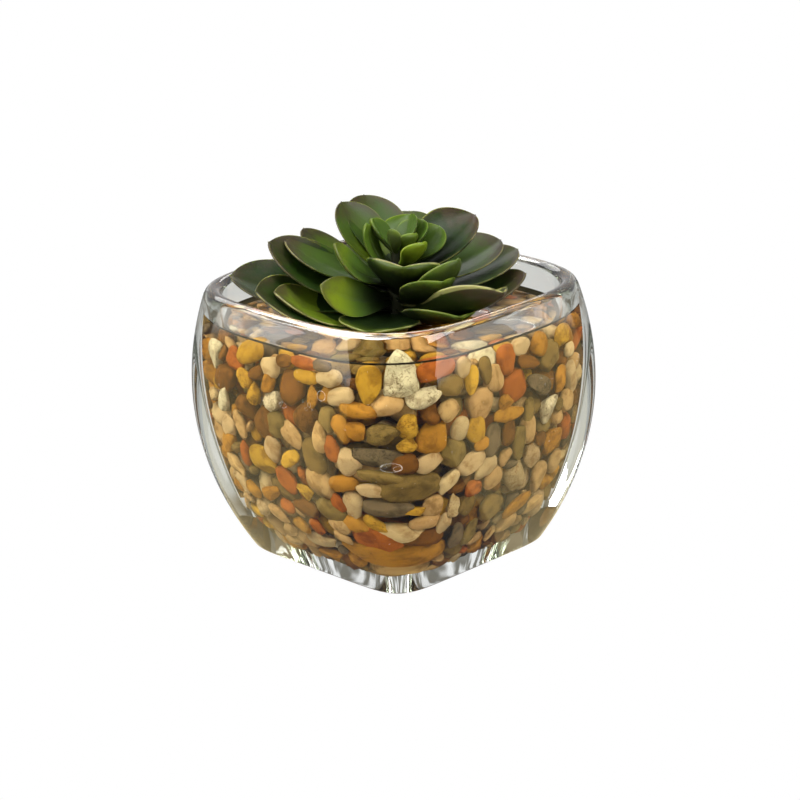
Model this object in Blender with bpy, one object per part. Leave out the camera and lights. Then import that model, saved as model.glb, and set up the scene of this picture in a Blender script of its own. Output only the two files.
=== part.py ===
"""An artificial echeveria in a pressed-glass bubble cube.

The glass holds river pebbles cast in clear resin, and the rosette's stem stands in the casting.
Metres, +Z up, the origin in the middle of the glass's flat base, X and Y square to its flats.
"""

import math

import bmesh
import bpy
import numpy as np

# Glass: the outer side is one arc in height and a rounded square in plan
CUBE_HALF = 0.0541  # half width across the flats, at the widest height
GLASS_HEIGHT = 0.090
WIDEST_HEIGHT = 0.0638
SIDE_ARC_RADIUS = 0.127
RIM_SQUARENESS = 3.6  # superellipse powers of the plan: 2 is round, more is squarer
BASE_SQUARENESS = 7.1
BASE_EDGE = 0.0009  # rounding of the foot's edge
WALL = 0.0050
FLOOR = 0.006
CAVITY_FOOT_SQUARENESS = 2.8  # of the hollow, whose rim is as square as the outside's
CAVITY_FOOT_RADIUS = 0.014

# Casting and pebbles
GAP = 0.0003  # clearance between pieces that touch
RESIN_LEVEL = 0.0784
RESIN_LINER = 0.0010  # resin between the pebbles and the glass
RESIN_OVER_PEBBLES = 0.0016
BED_CLEARANCE = 0.0009  # between the pebbles and the lining, whose facets cut across its curves
PEBBLE_SPACING = 0.0150  # between neighbours in a row, larger than life
PEBBLE_ROW = 0.0124
PEBBLE_HALF_LENGTH = 0.0088
PEBBLE_HALF_WIDTH = 0.0068
PEBBLE_HALF_DEPTH = 0.0044
LOWEST_ROW = 0.005  # above the bed's floor
HIGHEST_ROW = 0.004  # below the bed's top
BED_EDGE = 0.005  # the pebbles under and on top of the bed stop this far inside its outline
PEBBLE_SHIFT = 0.0012  # most that a pebble is moved off its row
PEBBLE_SHIFT_SHARE = 0.14  # and along it, as a share of the spacing
CORE_INSET = 0.0036  # the plain core lies this far inside the pebbles' outside
PEBBLE_SEED = 7

# Plant
STEM_RADIUS = 0.0025
STEM_DEPTH = 0.028  # below the resin's surface
STEM_IN_CROWN = 0.007
ROSETTE_AXIS = (0.0017, 0.0017)
CROWN_BOTTOM = 0.0006  # above the resin's surface
CROWN_TOP = GLASS_HEIGHT + 0.0105
CROWN_RADII = (0.0046, 0.0016)
BLADE_THICKNESS = 0.0016
BLADE_EDGE = 0.0007
TIP_HALF_WIDTH = 0.0004
ROOT_RADIUS = 0.0022
BUD_ROOT_RADIUS = 0.0008  # of the leaves shorter than BUD_LENGTH_MM
BUD_LENGTH_MM = 17
LEAF_WIDEST = 0.62  # share of the length at which a leaf is widest
LEAF_NECK = 0.30  # width at the root, as a share of the widest
TIP_POWERS = (2.5, 0.62)  # of the curve that closes the leaf to its tip
CUP_RISE = 0.55
CUP_NARROWING = 0.10

# Leaves, outermost first. Azimuth in degrees round the stem from +X, height of the root above the
# rim in mm, length and width in mm, pitch at the root and at the tip, cup, and roll in degrees.
LEAVES = (
    (225, -8.8, 54, 26, 2, 24, 0.5, -19),
    (248, -10.2, 50, 28, -3, 35, 0.4, -22),
    (248, -10.2, 44, 20.5, -8, 42, 0.45, -20),
    (296, -10.4, 27, 27, -2, 8, 0.3, 0),
    (8, -9.3, 42, 24, -5, 38, 0.9, -17),
    (49, -10.2, 42, 22, -6, 36, 0.3, 8),
    (66, -4.1, 42, 24, -3, 29, 0.35, 7),
    (69, -1.6, 37, 24, 2, 30, 0.5, 11),
    (70, 0.3, 32, 25, 22, 46, 0.8, 16),
    (118, -6, 42, 24, 4, 24, 0.5, 0),
    (155, 0.6, 36, 22.5, 23, 49, 0.5, 10),
    (180, -0.1, 33, 23, 23, 65, 0.6, 7),
    (186, -4.9, 42, 22, 6, 42, 0.3, 12),
    (218, -0.8, 38, 20, 2, 42, 0.4, -8),
    (224, -4.7, 45, 25, 1, 50, 0.5, -20),
    (163, -8, 44, 25, 2, 22, 0.5, 0),
    (128, -1, 37, 22, 12, 36, 0.5, 0),
    (350, -10.2, 32, 24, -4, 24, 0.5, -12),
    (259, -5.4, 30, 13, -4, 42, 0.6, -68),
    (247, 0.8, 26, 13, 0, 74, 0.4, -28),
    (321, -3.9, 20, 26, 23, 61, 0.9, -10),
    (10, -4.1, 28, 21, -10, 79, 0.75, -2),
    (350, -6.5, 26, 20, 4, 50, 0.7, -6),
    (76, 5, 18, 18, 19, 55, 0.65, 16),
    (87, 8.1, 15, 13.5, 28, 56, 0.65, 1),
    (112, 6.4, 17, 16, 40, 58, 0.9, -20),
    (193, 9, 14, 10, 38, 62, 0.7, 10),
    (222, 3.3, 18.5, 7, 35, 95, 0.6, -32),
    (286, 9, 9.6, 6, 58, 92, 0.7, -11),
    (36, 9.5, 8.5, 10, 32, 65, 0.7, -23),
    (17, 4.8, 13, 12, 21, 69, 0.7, -13),
)

# Facets
RING_SIDES = 40
CORE_SIDES = 20
ROUND_SIDES = 12
LIP_TURNS = (40, 90, 140)  # degrees round the lip, from its outer side
SHARP_DEGREES = 35


def clear_scene():
    for obj in list(bpy.data.objects):
        bpy.data.objects.remove(obj, do_unlink=True)


def finish(name, color, roughness, transmission=0.0):
    material = bpy.data.materials.new(name)
    material.use_nodes = True
    shader = material.node_tree.nodes["Principled BSDF"]
    shader.inputs["Base Color"].default_value = (*color, 1.0)
    shader.inputs["Roughness"].default_value = roughness
    shader.inputs["Transmission Weight"].default_value = transmission
    return material


def mesh_object(name, points, faces, material=None):
    mesh = bpy.data.meshes.new(name)
    mesh.from_pydata([tuple(map(float, p)) for p in points], [], [tuple(map(int, f)) for f in faces])
    mesh.update()
    mesh.shade_smooth()
    mesh.set_sharp_from_angle(angle=math.radians(SHARP_DEGREES))
    if material is not None:
        mesh.materials.append(material)
    obj = bpy.data.objects.new(name, mesh)
    bpy.context.scene.collection.objects.link(obj)
    return obj


# Plan and profile of the glass and of what fills it


def outer_half(z):
    drop = z - WIDEST_HEIGHT
    return CUBE_HALF - (SIDE_ARC_RADIUS - math.sqrt(SIDE_ARC_RADIUS**2 - drop**2))


def outer_power(z):
    return BASE_SQUARENESS + (RIM_SQUARENESS - BASE_SQUARENESS) * z / GLASS_HEIGHT


def cavity_power(z):
    return CAVITY_FOOT_SQUARENESS + (RIM_SQUARENESS - CAVITY_FOOT_SQUARENESS) * (z / GLASS_HEIGHT) ** 2


def cavity_half(z, inset):
    """Half width of the hollow, drawn in by inset: the outer arc less the wall, with a round foot."""
    half = outer_half(z) - WALL - inset
    up = z - (FLOOR + inset)
    if up < CAVITY_FOOT_RADIUS:
        below = CAVITY_FOOT_RADIUS - max(up, 0.0)
        half -= CAVITY_FOOT_RADIUS - math.sqrt(max(CAVITY_FOOT_RADIUS**2 - below**2, 0.0))
    return half


def cavity_levels(top, inset, steps, foot_steps=5):
    """Heights from the top down to the hollow's floor, closer together round its foot."""
    floor = FLOOR + inset
    turns = np.linspace(0.0, math.pi / 2, foot_steps)
    foot = floor + CAVITY_FOOT_RADIUS * (1.0 - np.sin(turns))
    side = np.linspace(top, foot[0], steps)
    return [float(z) for z in side] + [float(z) for z in foot[1:]]


def ring(half, z, power, sides=RING_SIDES):
    """Points of one rounded-square ring, evenly turned round Z."""
    turn = np.linspace(0.0, 2.0 * math.pi, sides, endpoint=False)
    across = np.abs(np.cos(turn)) ** power + np.abs(np.sin(turn)) ** power
    radius = half / across ** (1.0 / power)
    return np.stack([radius * np.cos(turn), radius * np.sin(turn), np.full(sides, z)], axis=1)


def loft(rings, start_point, end_point):
    """Points and faces of a skin through the rings, closed at both ends by a fan to a point."""
    sides = len(rings[0])
    points = np.concatenate([np.array([start_point])] + rings + [np.array([end_point])])
    faces = []
    last = len(points) - 1
    for i in range(sides):
        j = (i + 1) % sides
        faces.append((0, 1 + j, 1 + i))
        for k in range(len(rings) - 1):
            low = 1 + k * sides
            high = low + sides
            faces.append((low + i, low + j, high + j, high + i))
        top = 1 + (len(rings) - 1) * sides
        faces.append((top + i, top + j, last))
    return points, faces


def build_glass(material):
    """The pressed-glass cube: foot, bulged sides, round lip, hollow with thick corners and floor."""
    rings = [ring(outer_half(0.0) - BASE_EDGE, 0.0, outer_power(0.0))]
    lip_radius = WALL / 2
    shoulder = GLASS_HEIGHT - lip_radius
    levels = [*np.linspace(BASE_EDGE, WIDEST_HEIGHT, 7), *np.linspace(WIDEST_HEIGHT, shoulder, 4)[1:]]
    for z in levels:
        rings.append(ring(outer_half(z), z, outer_power(z)))
    middle = outer_half(shoulder) - lip_radius
    for turn in np.radians(LIP_TURNS):
        z = shoulder + lip_radius * math.sin(turn)
        rings.append(ring(middle + lip_radius * math.cos(turn), z, RIM_SQUARENESS))
    for z in cavity_levels(shoulder, 0.0, 6):
        rings.append(ring(cavity_half(z, 0.0), z, cavity_power(z)))
    points, faces = loft(rings, (0.0, 0.0, 0.0), (0.0, 0.0, FLOOR))
    return mesh_object("glass_cube", points, faces, material)


def build_resin(material):
    """The clear casting: a lining round the pebbles and a slab over them, pierced for the stem."""
    outer = GAP
    inner = GAP + RESIN_LINER
    underside = RESIN_LEVEL - RESIN_OVER_PEBBLES
    rings = []
    for z in reversed(cavity_levels(RESIN_LEVEL, outer, 5)):
        rings.append(ring(cavity_half(z, outer), z, cavity_power(z)))
    for z in (RESIN_LEVEL, underside):
        hole = ring(STEM_RADIUS + GAP, z, 2.0)
        hole[:, :2] += ROSETTE_AXIS
        rings.append(hole)
    for z in cavity_levels(underside, inner, 4, 4):
        rings.append(ring(cavity_half(z, inner), z, cavity_power(z)))
    points, faces = loft(rings, (0.0, 0.0, FLOOR + outer), (0.0, 0.0, FLOOR + inner))
    return mesh_object("resin", points, faces, material)


# Joining of repeats


def keep_outer_skin(mesh):
    """Keeps the skin of largest volume: a hollow that the union sealed is filled, a scrap is dropped."""
    work = bmesh.new()
    work.from_mesh(mesh)
    waiting = set(work.faces)
    skins = []
    while waiting:
        front = [waiting.pop()]
        skin = list(front)
        while front:
            face = front.pop()
            for edge in face.edges:
                for other in edge.link_faces:
                    if other in waiting:
                        waiting.remove(other)
                        front.append(other)
                        skin.append(other)
        skins.append(skin)

    def volume(skin):
        total = 0.0
        for face in skin:
            first = face.verts[0].co
            for a, b in zip(face.verts[1:-1], face.verts[2:]):
                total += first.dot(a.co.cross(b.co)) / 6.0
        return total

    main = max(skins, key=volume)
    loose = [face for skin in skins if skin is not main for face in skin]
    bmesh.ops.delete(work, geom=loose, context="FACES")
    work.to_mesh(mesh)
    work.free()


def fuse(core, pieces, hole=None):
    """Joins the pieces to the core by one union, cuts the hole if there is one, and keeps the mesh."""
    group = bpy.data.collections.new(core.name + "_pieces")
    bpy.context.scene.collection.children.link(group)
    for piece in pieces:
        bpy.context.scene.collection.objects.unlink(piece)
        group.objects.link(piece)
    union = core.modifiers.new("join", "BOOLEAN")
    union.operation = "UNION"
    union.operand_type = "COLLECTION"
    union.collection = group
    union.solver = "MANIFOLD"
    if hole is not None:
        cut = core.modifiers.new("hole", "BOOLEAN")
        cut.operation = "DIFFERENCE"
        cut.object = hole
        cut.solver = "MANIFOLD"
    bpy.context.view_layer.update()
    graph = bpy.context.evaluated_depsgraph_get()
    joined = bpy.data.meshes.new_from_object(core.evaluated_get(graph), depsgraph=graph)
    keep_outer_skin(joined)
    core.modifiers.clear()
    core.data = joined
    for piece in list(group.objects):
        bpy.data.objects.remove(piece, do_unlink=True)
    bpy.data.collections.remove(group)
    if hole is not None:
        bpy.data.objects.remove(hole, do_unlink=True)
    return core


def rod(name, radii, bottom, top, sides=ROUND_SIDES, material=None):
    """An upright round bar on the rosette's axis, of one radius at the bottom and one at the top."""
    rings = [ring(radii[0], bottom, 2.0, sides), ring(radii[1], top, 2.0, sides)]
    points, faces = loft(rings, (0.0, 0.0, bottom), (0.0, 0.0, top))
    points[:, :2] += ROSETTE_AXIS
    return mesh_object(name, points, faces, material)


# Pebbles

BED_INSET = GAP + RESIN_LINER + BED_CLEARANCE
BED_TOP = RESIN_LEVEL - RESIN_OVER_PEBBLES - GAP
BED_FLOOR = FLOOR + BED_INSET


def plan_radius(x, y, z):
    """Half width of the hollow's rounded square that passes through each x, y at its height."""
    power = cavity_power(z)
    return (np.abs(x) ** power + np.abs(y) ** power) ** (1.0 / power)


def kept_in_bed(points):
    """Moves what would stand out of the bed's outside back onto it."""
    z = np.clip(points[:, 2], BED_FLOOR, BED_TOP)
    half = np.array([cavity_half(float(level), BED_INSET) for level in z])
    across = plan_radius(points[:, 0], points[:, 1], z)
    scale = np.minimum(1.0, half / np.maximum(across, 1e-9))
    return np.stack([points[:, 0] * scale, points[:, 1] * scale, z], axis=1)


def icosahedron():
    golden = (1.0 + math.sqrt(5.0)) / 2.0
    corners = []
    for a in (-1.0, 1.0):
        for b in (-golden, golden):
            corners += [(0.0, a, b), (a, b, 0.0), (b, 0.0, a)]
    corners = np.array(corners) / math.hypot(1.0, golden)
    edge = 2.0 / math.hypot(1.0, golden)
    faces = []
    for i in range(12):
        for j in range(i + 1, 12):
            for k in range(j + 1, 12):
                sides = [corners[i] - corners[j], corners[j] - corners[k], corners[k] - corners[i]]
                if max(np.linalg.norm(side) for side in sides) > edge * 1.01:
                    continue
                outward = np.dot(np.cross(corners[j] - corners[i], corners[k] - corners[i]), corners[i])
                faces.append((i, j, k) if outward > 0 else (i, k, j))
    return corners, faces


def pebble(draw, centre, normal, corners, faces, index):
    """One flattish pebble, its thin way along the normal, turned at random and a little uneven."""
    normal = normal / np.linalg.norm(normal)
    helper = np.array([0.0, 0.0, 1.0]) if abs(normal[2]) < 0.9 else np.array([1.0, 0.0, 0.0])
    side = np.cross(helper, normal)
    side /= np.linalg.norm(side)
    other = np.cross(normal, side)
    spin = draw.uniform(0.0, math.pi)
    along = side * math.cos(spin) + other * math.sin(spin)
    across = np.cross(normal, along)
    size = draw.uniform(0.86, 1.12)
    shape = corners * draw.uniform(0.9, 1.08, (12, 1))
    points = (
        shape[:, :1] * along * PEBBLE_HALF_LENGTH * size
        + shape[:, 1:2] * across * PEBBLE_HALF_WIDTH * size
        + shape[:, 2:] * normal * PEBBLE_HALF_DEPTH
    )
    points = points + centre - normal * (PEBBLE_HALF_DEPTH * 0.95)
    return mesh_object(f"pebble_{index}", kept_in_bed(points), faces)


def along_section(half, z, share):
    """Points at these shares of the way round the hollow's rounded square of that half width."""
    loop = ring(half, z, cavity_power(z), 720)[:, :2]
    loop = np.concatenate([loop, loop[:1]])
    steps = np.linalg.norm(np.diff(loop, axis=0), axis=1)
    way = np.concatenate([[0.0], np.cumsum(steps)])
    place = np.mod(share, 1.0) * way[-1]
    return np.stack([np.interp(place, way, loop[:, 0]), np.interp(place, way, loop[:, 1])], axis=1)


def section_length(half, z):
    loop = ring(half, z, cavity_power(z), 720)[:, :2]
    return float(np.linalg.norm(np.roll(loop, -1, axis=0) - loop, axis=1).sum())


def pebble_places(draw):
    """Centres and outward normals: rows round the side, and a staggered grid below and on top."""
    places = []
    rows = int((BED_TOP - BED_FLOOR) / PEBBLE_ROW)
    heights = np.linspace(BED_FLOOR + LOWEST_ROW, BED_TOP - HIGHEST_ROW, rows)
    for row, z in enumerate(heights.tolist()):
        half = cavity_half(z, BED_INSET)
        step = 0.001
        slope = (cavity_half(z + step, BED_INSET) - cavity_half(z - step, BED_INSET)) / (2 * step)
        count = round(section_length(half, z) / PEBBLE_SPACING)
        shift = draw.uniform(-PEBBLE_SHIFT_SHARE, PEBBLE_SHIFT_SHARE, count)
        share = (np.arange(count) + 0.5 * (row % 2) + shift) / count
        spots = along_section(half, z, share)
        ahead = along_section(half, z, share + 0.002)
        run = ahead - spots
        flat = np.stack([run[:, 1], -run[:, 0]], axis=1)
        flat /= np.linalg.norm(flat, axis=1)[:, None]
        rise = draw.uniform(-PEBBLE_SHIFT, PEBBLE_SHIFT, count)
        for spot, out, lift in zip(spots, flat, rise):
            places.append((np.array([*spot, z + lift]), np.array([*out, -slope])))
    for z, up in ((BED_FLOOR, -1.0), (BED_TOP, 1.0)):
        reach = cavity_half(z, BED_INSET) - BED_EDGE
        lines = int(2 * reach / PEBBLE_ROW) + 1
        for line, y in enumerate(np.linspace(-reach, reach, lines)):
            stagger = 0.25 * PEBBLE_SPACING * (1 if line % 2 else -1)
            count = int(2 * reach / PEBBLE_SPACING) + 1
            for x in np.linspace(-reach, reach, count) + stagger:
                if plan_radius(x, y, z) > reach:
                    continue
                nudge = draw.uniform(-PEBBLE_SHIFT, PEBBLE_SHIFT, 2)
                places.append((np.array([x + nudge[0], y + nudge[1], z]), np.array([0.0, 0.0, up])))
    return places


def build_pebbles(material):
    """River pebbles as one bed: a plain core with a pebble sunk in it at every place."""
    draw = np.random.default_rng(PEBBLE_SEED)
    rings = []
    for z in reversed(cavity_levels(BED_TOP - CORE_INSET, BED_INSET + CORE_INSET, 4, 4)):
        rings.append(ring(cavity_half(z, BED_INSET + CORE_INSET), z, cavity_power(z), CORE_SIDES))
    points, faces = loft(rings, (0.0, 0.0, BED_FLOOR + CORE_INSET), (0.0, 0.0, BED_TOP - CORE_INSET))
    core = mesh_object("pebble_bed", points, faces, material)
    corners, sides = icosahedron()
    pieces = []
    for index, (centre, normal) in enumerate(pebble_places(draw)):
        pieces.append(pebble(draw, centre, normal, corners, sides, index))
    radius = STEM_RADIUS + GAP
    hole = rod("stem_hole", (radius, radius), RESIN_LEVEL - STEM_DEPTH - GAP, RESIN_LEVEL + 0.01)
    return fuse(core, pieces, hole)


# Plant


def leaf(index, azimuth, root_mm, length_mm, width_mm, root_pitch, tip_pitch, cup, roll):
    """One spoon-shaped blade: a midrib that curves up, a width that swells and closes to a point, and
    edges that rise with the square of the way out."""
    rows = 7 if length_mm > 25 else 6
    columns = 5 if length_mm > BUD_LENGTH_MM else 3
    root = ROOT_RADIUS if length_mm > BUD_LENGTH_MM else BUD_ROOT_RADIUS
    s = np.linspace(0.0, 1.0, rows)
    t = np.linspace(-1.0, 1.0, columns)
    pitch = np.radians(root_pitch + (tip_pitch - root_pitch) * s)
    step = length_mm / 1000.0 / (rows - 1)
    mean_cos = (np.cos(pitch[1:]) + np.cos(pitch[:-1])) / 2
    mean_sin = (np.sin(pitch[1:]) + np.sin(pitch[:-1])) / 2
    out = root + np.concatenate([[0.0], np.cumsum(mean_cos)]) * step
    up = np.concatenate([[0.0], np.cumsum(mean_sin)]) * step
    way = np.clip(s / LEAF_WIDEST, 0.0, 1.0)
    swell = LEAF_NECK + (1.0 - LEAF_NECK) * way * way * (3.0 - 2.0 * way)
    close = np.clip((s - LEAF_WIDEST) / (1.0 - LEAF_WIDEST), 0.0, 1.0)
    half = width_mm / 2000.0 * swell * (1.0 - close ** TIP_POWERS[0]) ** TIP_POWERS[1]
    half = np.maximum(half, TIP_HALF_WIDTH)
    fullness = (1.0 - t**2)[None, :] * np.sqrt(half / half.max())[:, None]
    thick = BLADE_EDGE + (BLADE_THICKNESS - BLADE_EDGE) * fullness
    across = half[:, None] * t[None, :] * (1.0 - CUP_NARROWING * cup * np.abs(t)[None, :])
    rise = half[:, None] * cup * CUP_RISE * t[None, :] ** 2
    turn = math.radians(roll)
    sheets = []
    for face in (0.5, -0.5):
        lift = rise + face * thick
        y = across * math.cos(turn) - lift * math.sin(turn)
        n = across * math.sin(turn) + lift * math.cos(turn)
        x = out[:, None] - np.sin(pitch)[:, None] * n
        z = up[:, None] + np.cos(pitch)[:, None] * n + GLASS_HEIGHT + root_mm / 1000.0
        sheets.append(np.stack([x, y, z], axis=-1).reshape(-1, 3))
    points = np.concatenate(sheets)
    points[:, 2] = np.maximum(points[:, 2], RESIN_LEVEL + CROWN_BOTTOM)
    bearing = math.radians(azimuth)
    spun = points.copy()
    spun[:, 0] = points[:, 0] * math.cos(bearing) - points[:, 1] * math.sin(bearing) + ROSETTE_AXIS[0]
    spun[:, 1] = points[:, 0] * math.sin(bearing) + points[:, 1] * math.cos(bearing) + ROSETTE_AXIS[1]
    below = rows * columns
    faces = []
    for r in range(rows - 1):
        for c in range(columns - 1):
            a = r * columns + c
            b = a + columns
            faces += [(a, b, b + 1), (a, b + 1, a + 1)]
            faces += [(below + a, below + b + 1, below + b), (below + a, below + a + 1, below + b + 1)]
    border = list(range(columns))
    border += [r * columns + columns - 1 for r in range(1, rows)]
    border += [(rows - 1) * columns + c for c in range(columns - 2, -1, -1)]
    border += [r * columns for r in range(rows - 2, 0, -1)]
    for here, there in zip(border, border[1:] + border[:1]):
        faces += [(here, there, below + there), (here, below + there, below + here)]
    return mesh_object(f"leaf_{index}", spun, faces)


def build_rosette(material):
    """Every leaf rooted in one short crown, which a blind hole from below seats on the stem."""
    bottom = RESIN_LEVEL + CROWN_BOTTOM
    crown = rod("rosette", CROWN_RADII, bottom, CROWN_TOP, material=material)
    leaves = [leaf(index, *row) for index, row in enumerate(LEAVES)]
    radius = STEM_RADIUS + GAP
    socket = rod("stem_socket", (radius, radius), RESIN_LEVEL - 0.01, bottom + STEM_IN_CROWN + GAP)
    return fuse(crown, leaves, socket)


def build_stem(material):
    """The plain stem, standing in the casting and up into the crown."""
    bottom = RESIN_LEVEL - STEM_DEPTH
    top = RESIN_LEVEL + CROWN_BOTTOM + STEM_IN_CROWN
    return rod("stem", (STEM_RADIUS, STEM_RADIUS), bottom, top, material=material)


clear_scene()
build_glass(finish("clear_glass", (0.95, 0.97, 0.96), 0.02, transmission=1.0))
build_resin(finish("clear_resin", (0.93, 0.90, 0.84), 0.03, transmission=1.0))
build_pebbles(finish("river_pebble", (0.50, 0.36, 0.20), 0.45))
build_rosette(finish("echeveria_green", (0.06, 0.13, 0.035), 0.42))
build_stem(finish("stem_green", (0.05, 0.06, 0.025), 0.55))
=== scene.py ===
"""The looks of an artificial echeveria in a pressed-glass bubble cube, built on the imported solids.

Metres, +Z up, the origin in the middle of the glass's flat foot, X and Y square to its flats.
"""

import math

import bpy
import numpy as np
from mathutils import Matrix, Vector


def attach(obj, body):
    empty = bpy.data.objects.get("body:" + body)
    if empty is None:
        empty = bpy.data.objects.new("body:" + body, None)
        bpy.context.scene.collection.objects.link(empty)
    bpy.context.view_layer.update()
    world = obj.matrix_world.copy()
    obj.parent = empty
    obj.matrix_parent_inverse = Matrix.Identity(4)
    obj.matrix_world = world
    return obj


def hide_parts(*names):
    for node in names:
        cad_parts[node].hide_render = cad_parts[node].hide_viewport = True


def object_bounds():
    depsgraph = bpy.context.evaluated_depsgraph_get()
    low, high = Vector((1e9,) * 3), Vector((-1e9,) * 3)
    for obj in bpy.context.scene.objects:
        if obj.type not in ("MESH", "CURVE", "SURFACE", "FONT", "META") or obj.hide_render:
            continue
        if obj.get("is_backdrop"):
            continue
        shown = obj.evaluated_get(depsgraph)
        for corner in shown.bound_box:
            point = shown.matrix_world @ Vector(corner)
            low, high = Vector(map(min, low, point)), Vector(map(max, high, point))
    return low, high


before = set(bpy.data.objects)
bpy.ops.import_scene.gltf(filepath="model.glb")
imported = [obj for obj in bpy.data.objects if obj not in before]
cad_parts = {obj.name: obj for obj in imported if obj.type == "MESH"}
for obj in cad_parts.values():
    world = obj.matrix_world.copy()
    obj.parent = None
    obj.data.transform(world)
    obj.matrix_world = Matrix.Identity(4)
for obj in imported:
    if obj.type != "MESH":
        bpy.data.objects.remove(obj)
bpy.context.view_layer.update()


# Glass cube
# Thick clear glass pressed in a mould: four bulged sides, rounded corners, a fire-polished lip and a
# flat foot. Its hollow is rounder in plan than its outside, so the corners are the thickest glass.

CUBE_HALF = 0.05408
GLASS_HEIGHT = 0.090
WIDEST_HEIGHT = 0.0638
SIDE_ARC_RADIUS = 0.127
RIM_SQUARENESS = 3.6
BASE_SQUARENESS = 7.1
FOOT_ROUNDING = 0.0009
FOOT_FLAT_INSET = 0.0006
WALL = 0.0050
FLOOR = 0.006
HOLLOW_RIM_SQUARENESS = 3.6
HOLLOW_FOOT_SQUARENESS = 2.8
HOLLOW_SQUARENESS_RISE = 2.0
HOLLOW_FOOT_RADIUS = 0.014
HOLLOW_FLOOR_INSET = 0.001
RESIN_LEVEL = 0.0784
MENISCUS_RISE = 0.0015
GLASS_SIDES = 240
LIP_TO_RESIN_RINGS = 9
DRY_BEARING = 135.0
DRY_HALF_WIDTH = 90.0
DRY_FROM_HEIGHT = 0.0185
GLASS_TINT = (0.965, 0.985, 0.972)
DEEP_TINT = (0.10, 0.13, 0.065)
DEEP_SHARE = 0.11
GLASS_SHADOW = (0.94, 0.96, 0.95)
GLASS_IOR = 1.5
MOULD_RIPPLE = 55.0
MOULD_RIPPLE_DEPTH = 0.00006


class Wire:
    """A socket's value in a material. Arithmetic on it adds Math nodes."""

    def __init__(self, finish, socket):
        self.finish = finish
        self.socket = socket

    def math(self, operation, first, second):
        sockets = {0: first, 1: second}
        return self.finish.node("ShaderNodeMath", {"operation": operation}, sockets)

    def __abs__(self):
        return self.math("ABSOLUTE", self, 0.0)

    def clamped(self):
        return self.finish.node("ShaderNodeClamp", {}, {"Value": self})

    def swept(self, low, high):
        """0 up to low, 1 from high, smooth in between."""
        sockets = {"Value": self, "From Min": low, "From Max": high}
        return self.finish.node("ShaderNodeMapRange", {"interpolation_type": "SMOOTHSTEP"}, sockets)


# Each sign between a wire and a number or wire, from either side, is one Math node
SIGNS = {"add": "ADD", "sub": "SUBTRACT", "mul": "MULTIPLY", "truediv": "DIVIDE", "pow": "POWER"}
for sign, kind in SIGNS.items():
    setattr(Wire, f"__{sign}__", lambda one, two, kind=kind: one.math(kind, one, two))
    setattr(Wire, f"__r{sign}__", lambda one, two, kind=kind: one.math(kind, two, one))


class Finish:
    """The nodes of one material, or of the studio's surroundings, as they are mixed."""

    def __init__(self, owner):
        self.owner = owner
        owner.use_nodes = True
        self.tree = owner.node_tree
        self.tree.nodes.clear()

    def node(self, kind, settings, sockets, output=0):
        """Adds a node: its settings are set first, then the values or wires of its sockets."""
        made = self.tree.nodes.new(kind)
        for name, value in settings.items():
            setattr(made, name, value)
        for name, value in sockets.items():
            if isinstance(value, Wire):
                self.tree.links.new(value.socket, made.inputs[name])
            else:
                made.inputs[name].default_value = value
        return Wire(self, made.outputs[output])

    def mixed(self, share, first, second):
        """The first colour where share is 0, the second where it is 1."""
        first = (*first, 1.0) if isinstance(first, tuple) else first
        second = (*second, 1.0) if isinstance(second, tuple) else second
        return self.node("ShaderNodeMix", {"data_type": "RGBA"}, {0: share, 6: first, 7: second}, 2)

    def noise(self, place, scale, detail=2.0, roughness=0.5, distortion=0.0):
        sockets = {"Vector": place, "Scale": scale, "Detail": detail}
        sockets.update({"Roughness": roughness, "Distortion": distortion})
        return self.node("ShaderNodeTexNoise", {}, sockets)

    def attribute(self, name, output="Fac"):
        return self.node("ShaderNodeAttribute", {"attribute_name": name}, {}, output)

    def place(self):
        return self.node("ShaderNodeTexCoord", {}, {}, "Object")

    def light_path(self, kind):
        return self.node("ShaderNodeLightPath", {}, {}, kind)

    def vector(self, operation, first, second=(0.0, 0.0, 0.0), output="Vector"):
        return self.node("ShaderNodeVectorMath", {"operation": operation}, {0: first, 1: second}, output)

    def bump(self, height, strength, distance):
        sockets = {"Height": height, "Strength": strength, "Distance": distance}
        return self.node("ShaderNodeBump", {}, sockets)

    def surface(self, sockets):
        return self.node("ShaderNodeBsdfPrincipled", {}, sockets)

    def done(self, shader, kind="ShaderNodeOutputMaterial"):
        output = self.tree.nodes.new(kind)
        self.tree.links.new(shader.socket, output.inputs["Surface"])
        return self.owner


def outer_half(z):
    """Half width across the flats: one arc in height, widest at WIDEST_HEIGHT."""
    return CUBE_HALF - (SIDE_ARC_RADIUS - np.sqrt(SIDE_ARC_RADIUS**2 - (z - WIDEST_HEIGHT) ** 2))


def outer_power(z):
    """Squareness of the plan: it rises evenly from the rim to the foot."""
    return BASE_SQUARENESS + (RIM_SQUARENESS - BASE_SQUARENESS) * np.clip(z / GLASS_HEIGHT, 0.0, 1.0)


def hollow_power(z):
    """Squareness of the hollow: it rises from the foot to the rim with a power of the height."""
    rise = np.clip(z / GLASS_HEIGHT, 0.0, 1.0) ** HOLLOW_SQUARENESS_RISE
    return HOLLOW_FOOT_SQUARENESS + (HOLLOW_RIM_SQUARENESS - HOLLOW_FOOT_SQUARENESS) * rise


def hollow_half(z, inset=0.0):
    """Half width of the hollow, drawn in by inset: the outer arc less the wall, above a round foot."""
    up = np.clip(z - (FLOOR + inset), 0.0, HOLLOW_FOOT_RADIUS)
    below = HOLLOW_FOOT_RADIUS - up
    drawn_in = HOLLOW_FOOT_RADIUS - np.sqrt(np.maximum(HOLLOW_FOOT_RADIUS**2 - below**2, 0.0))
    return outer_half(z) - WALL - inset - drawn_in


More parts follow.
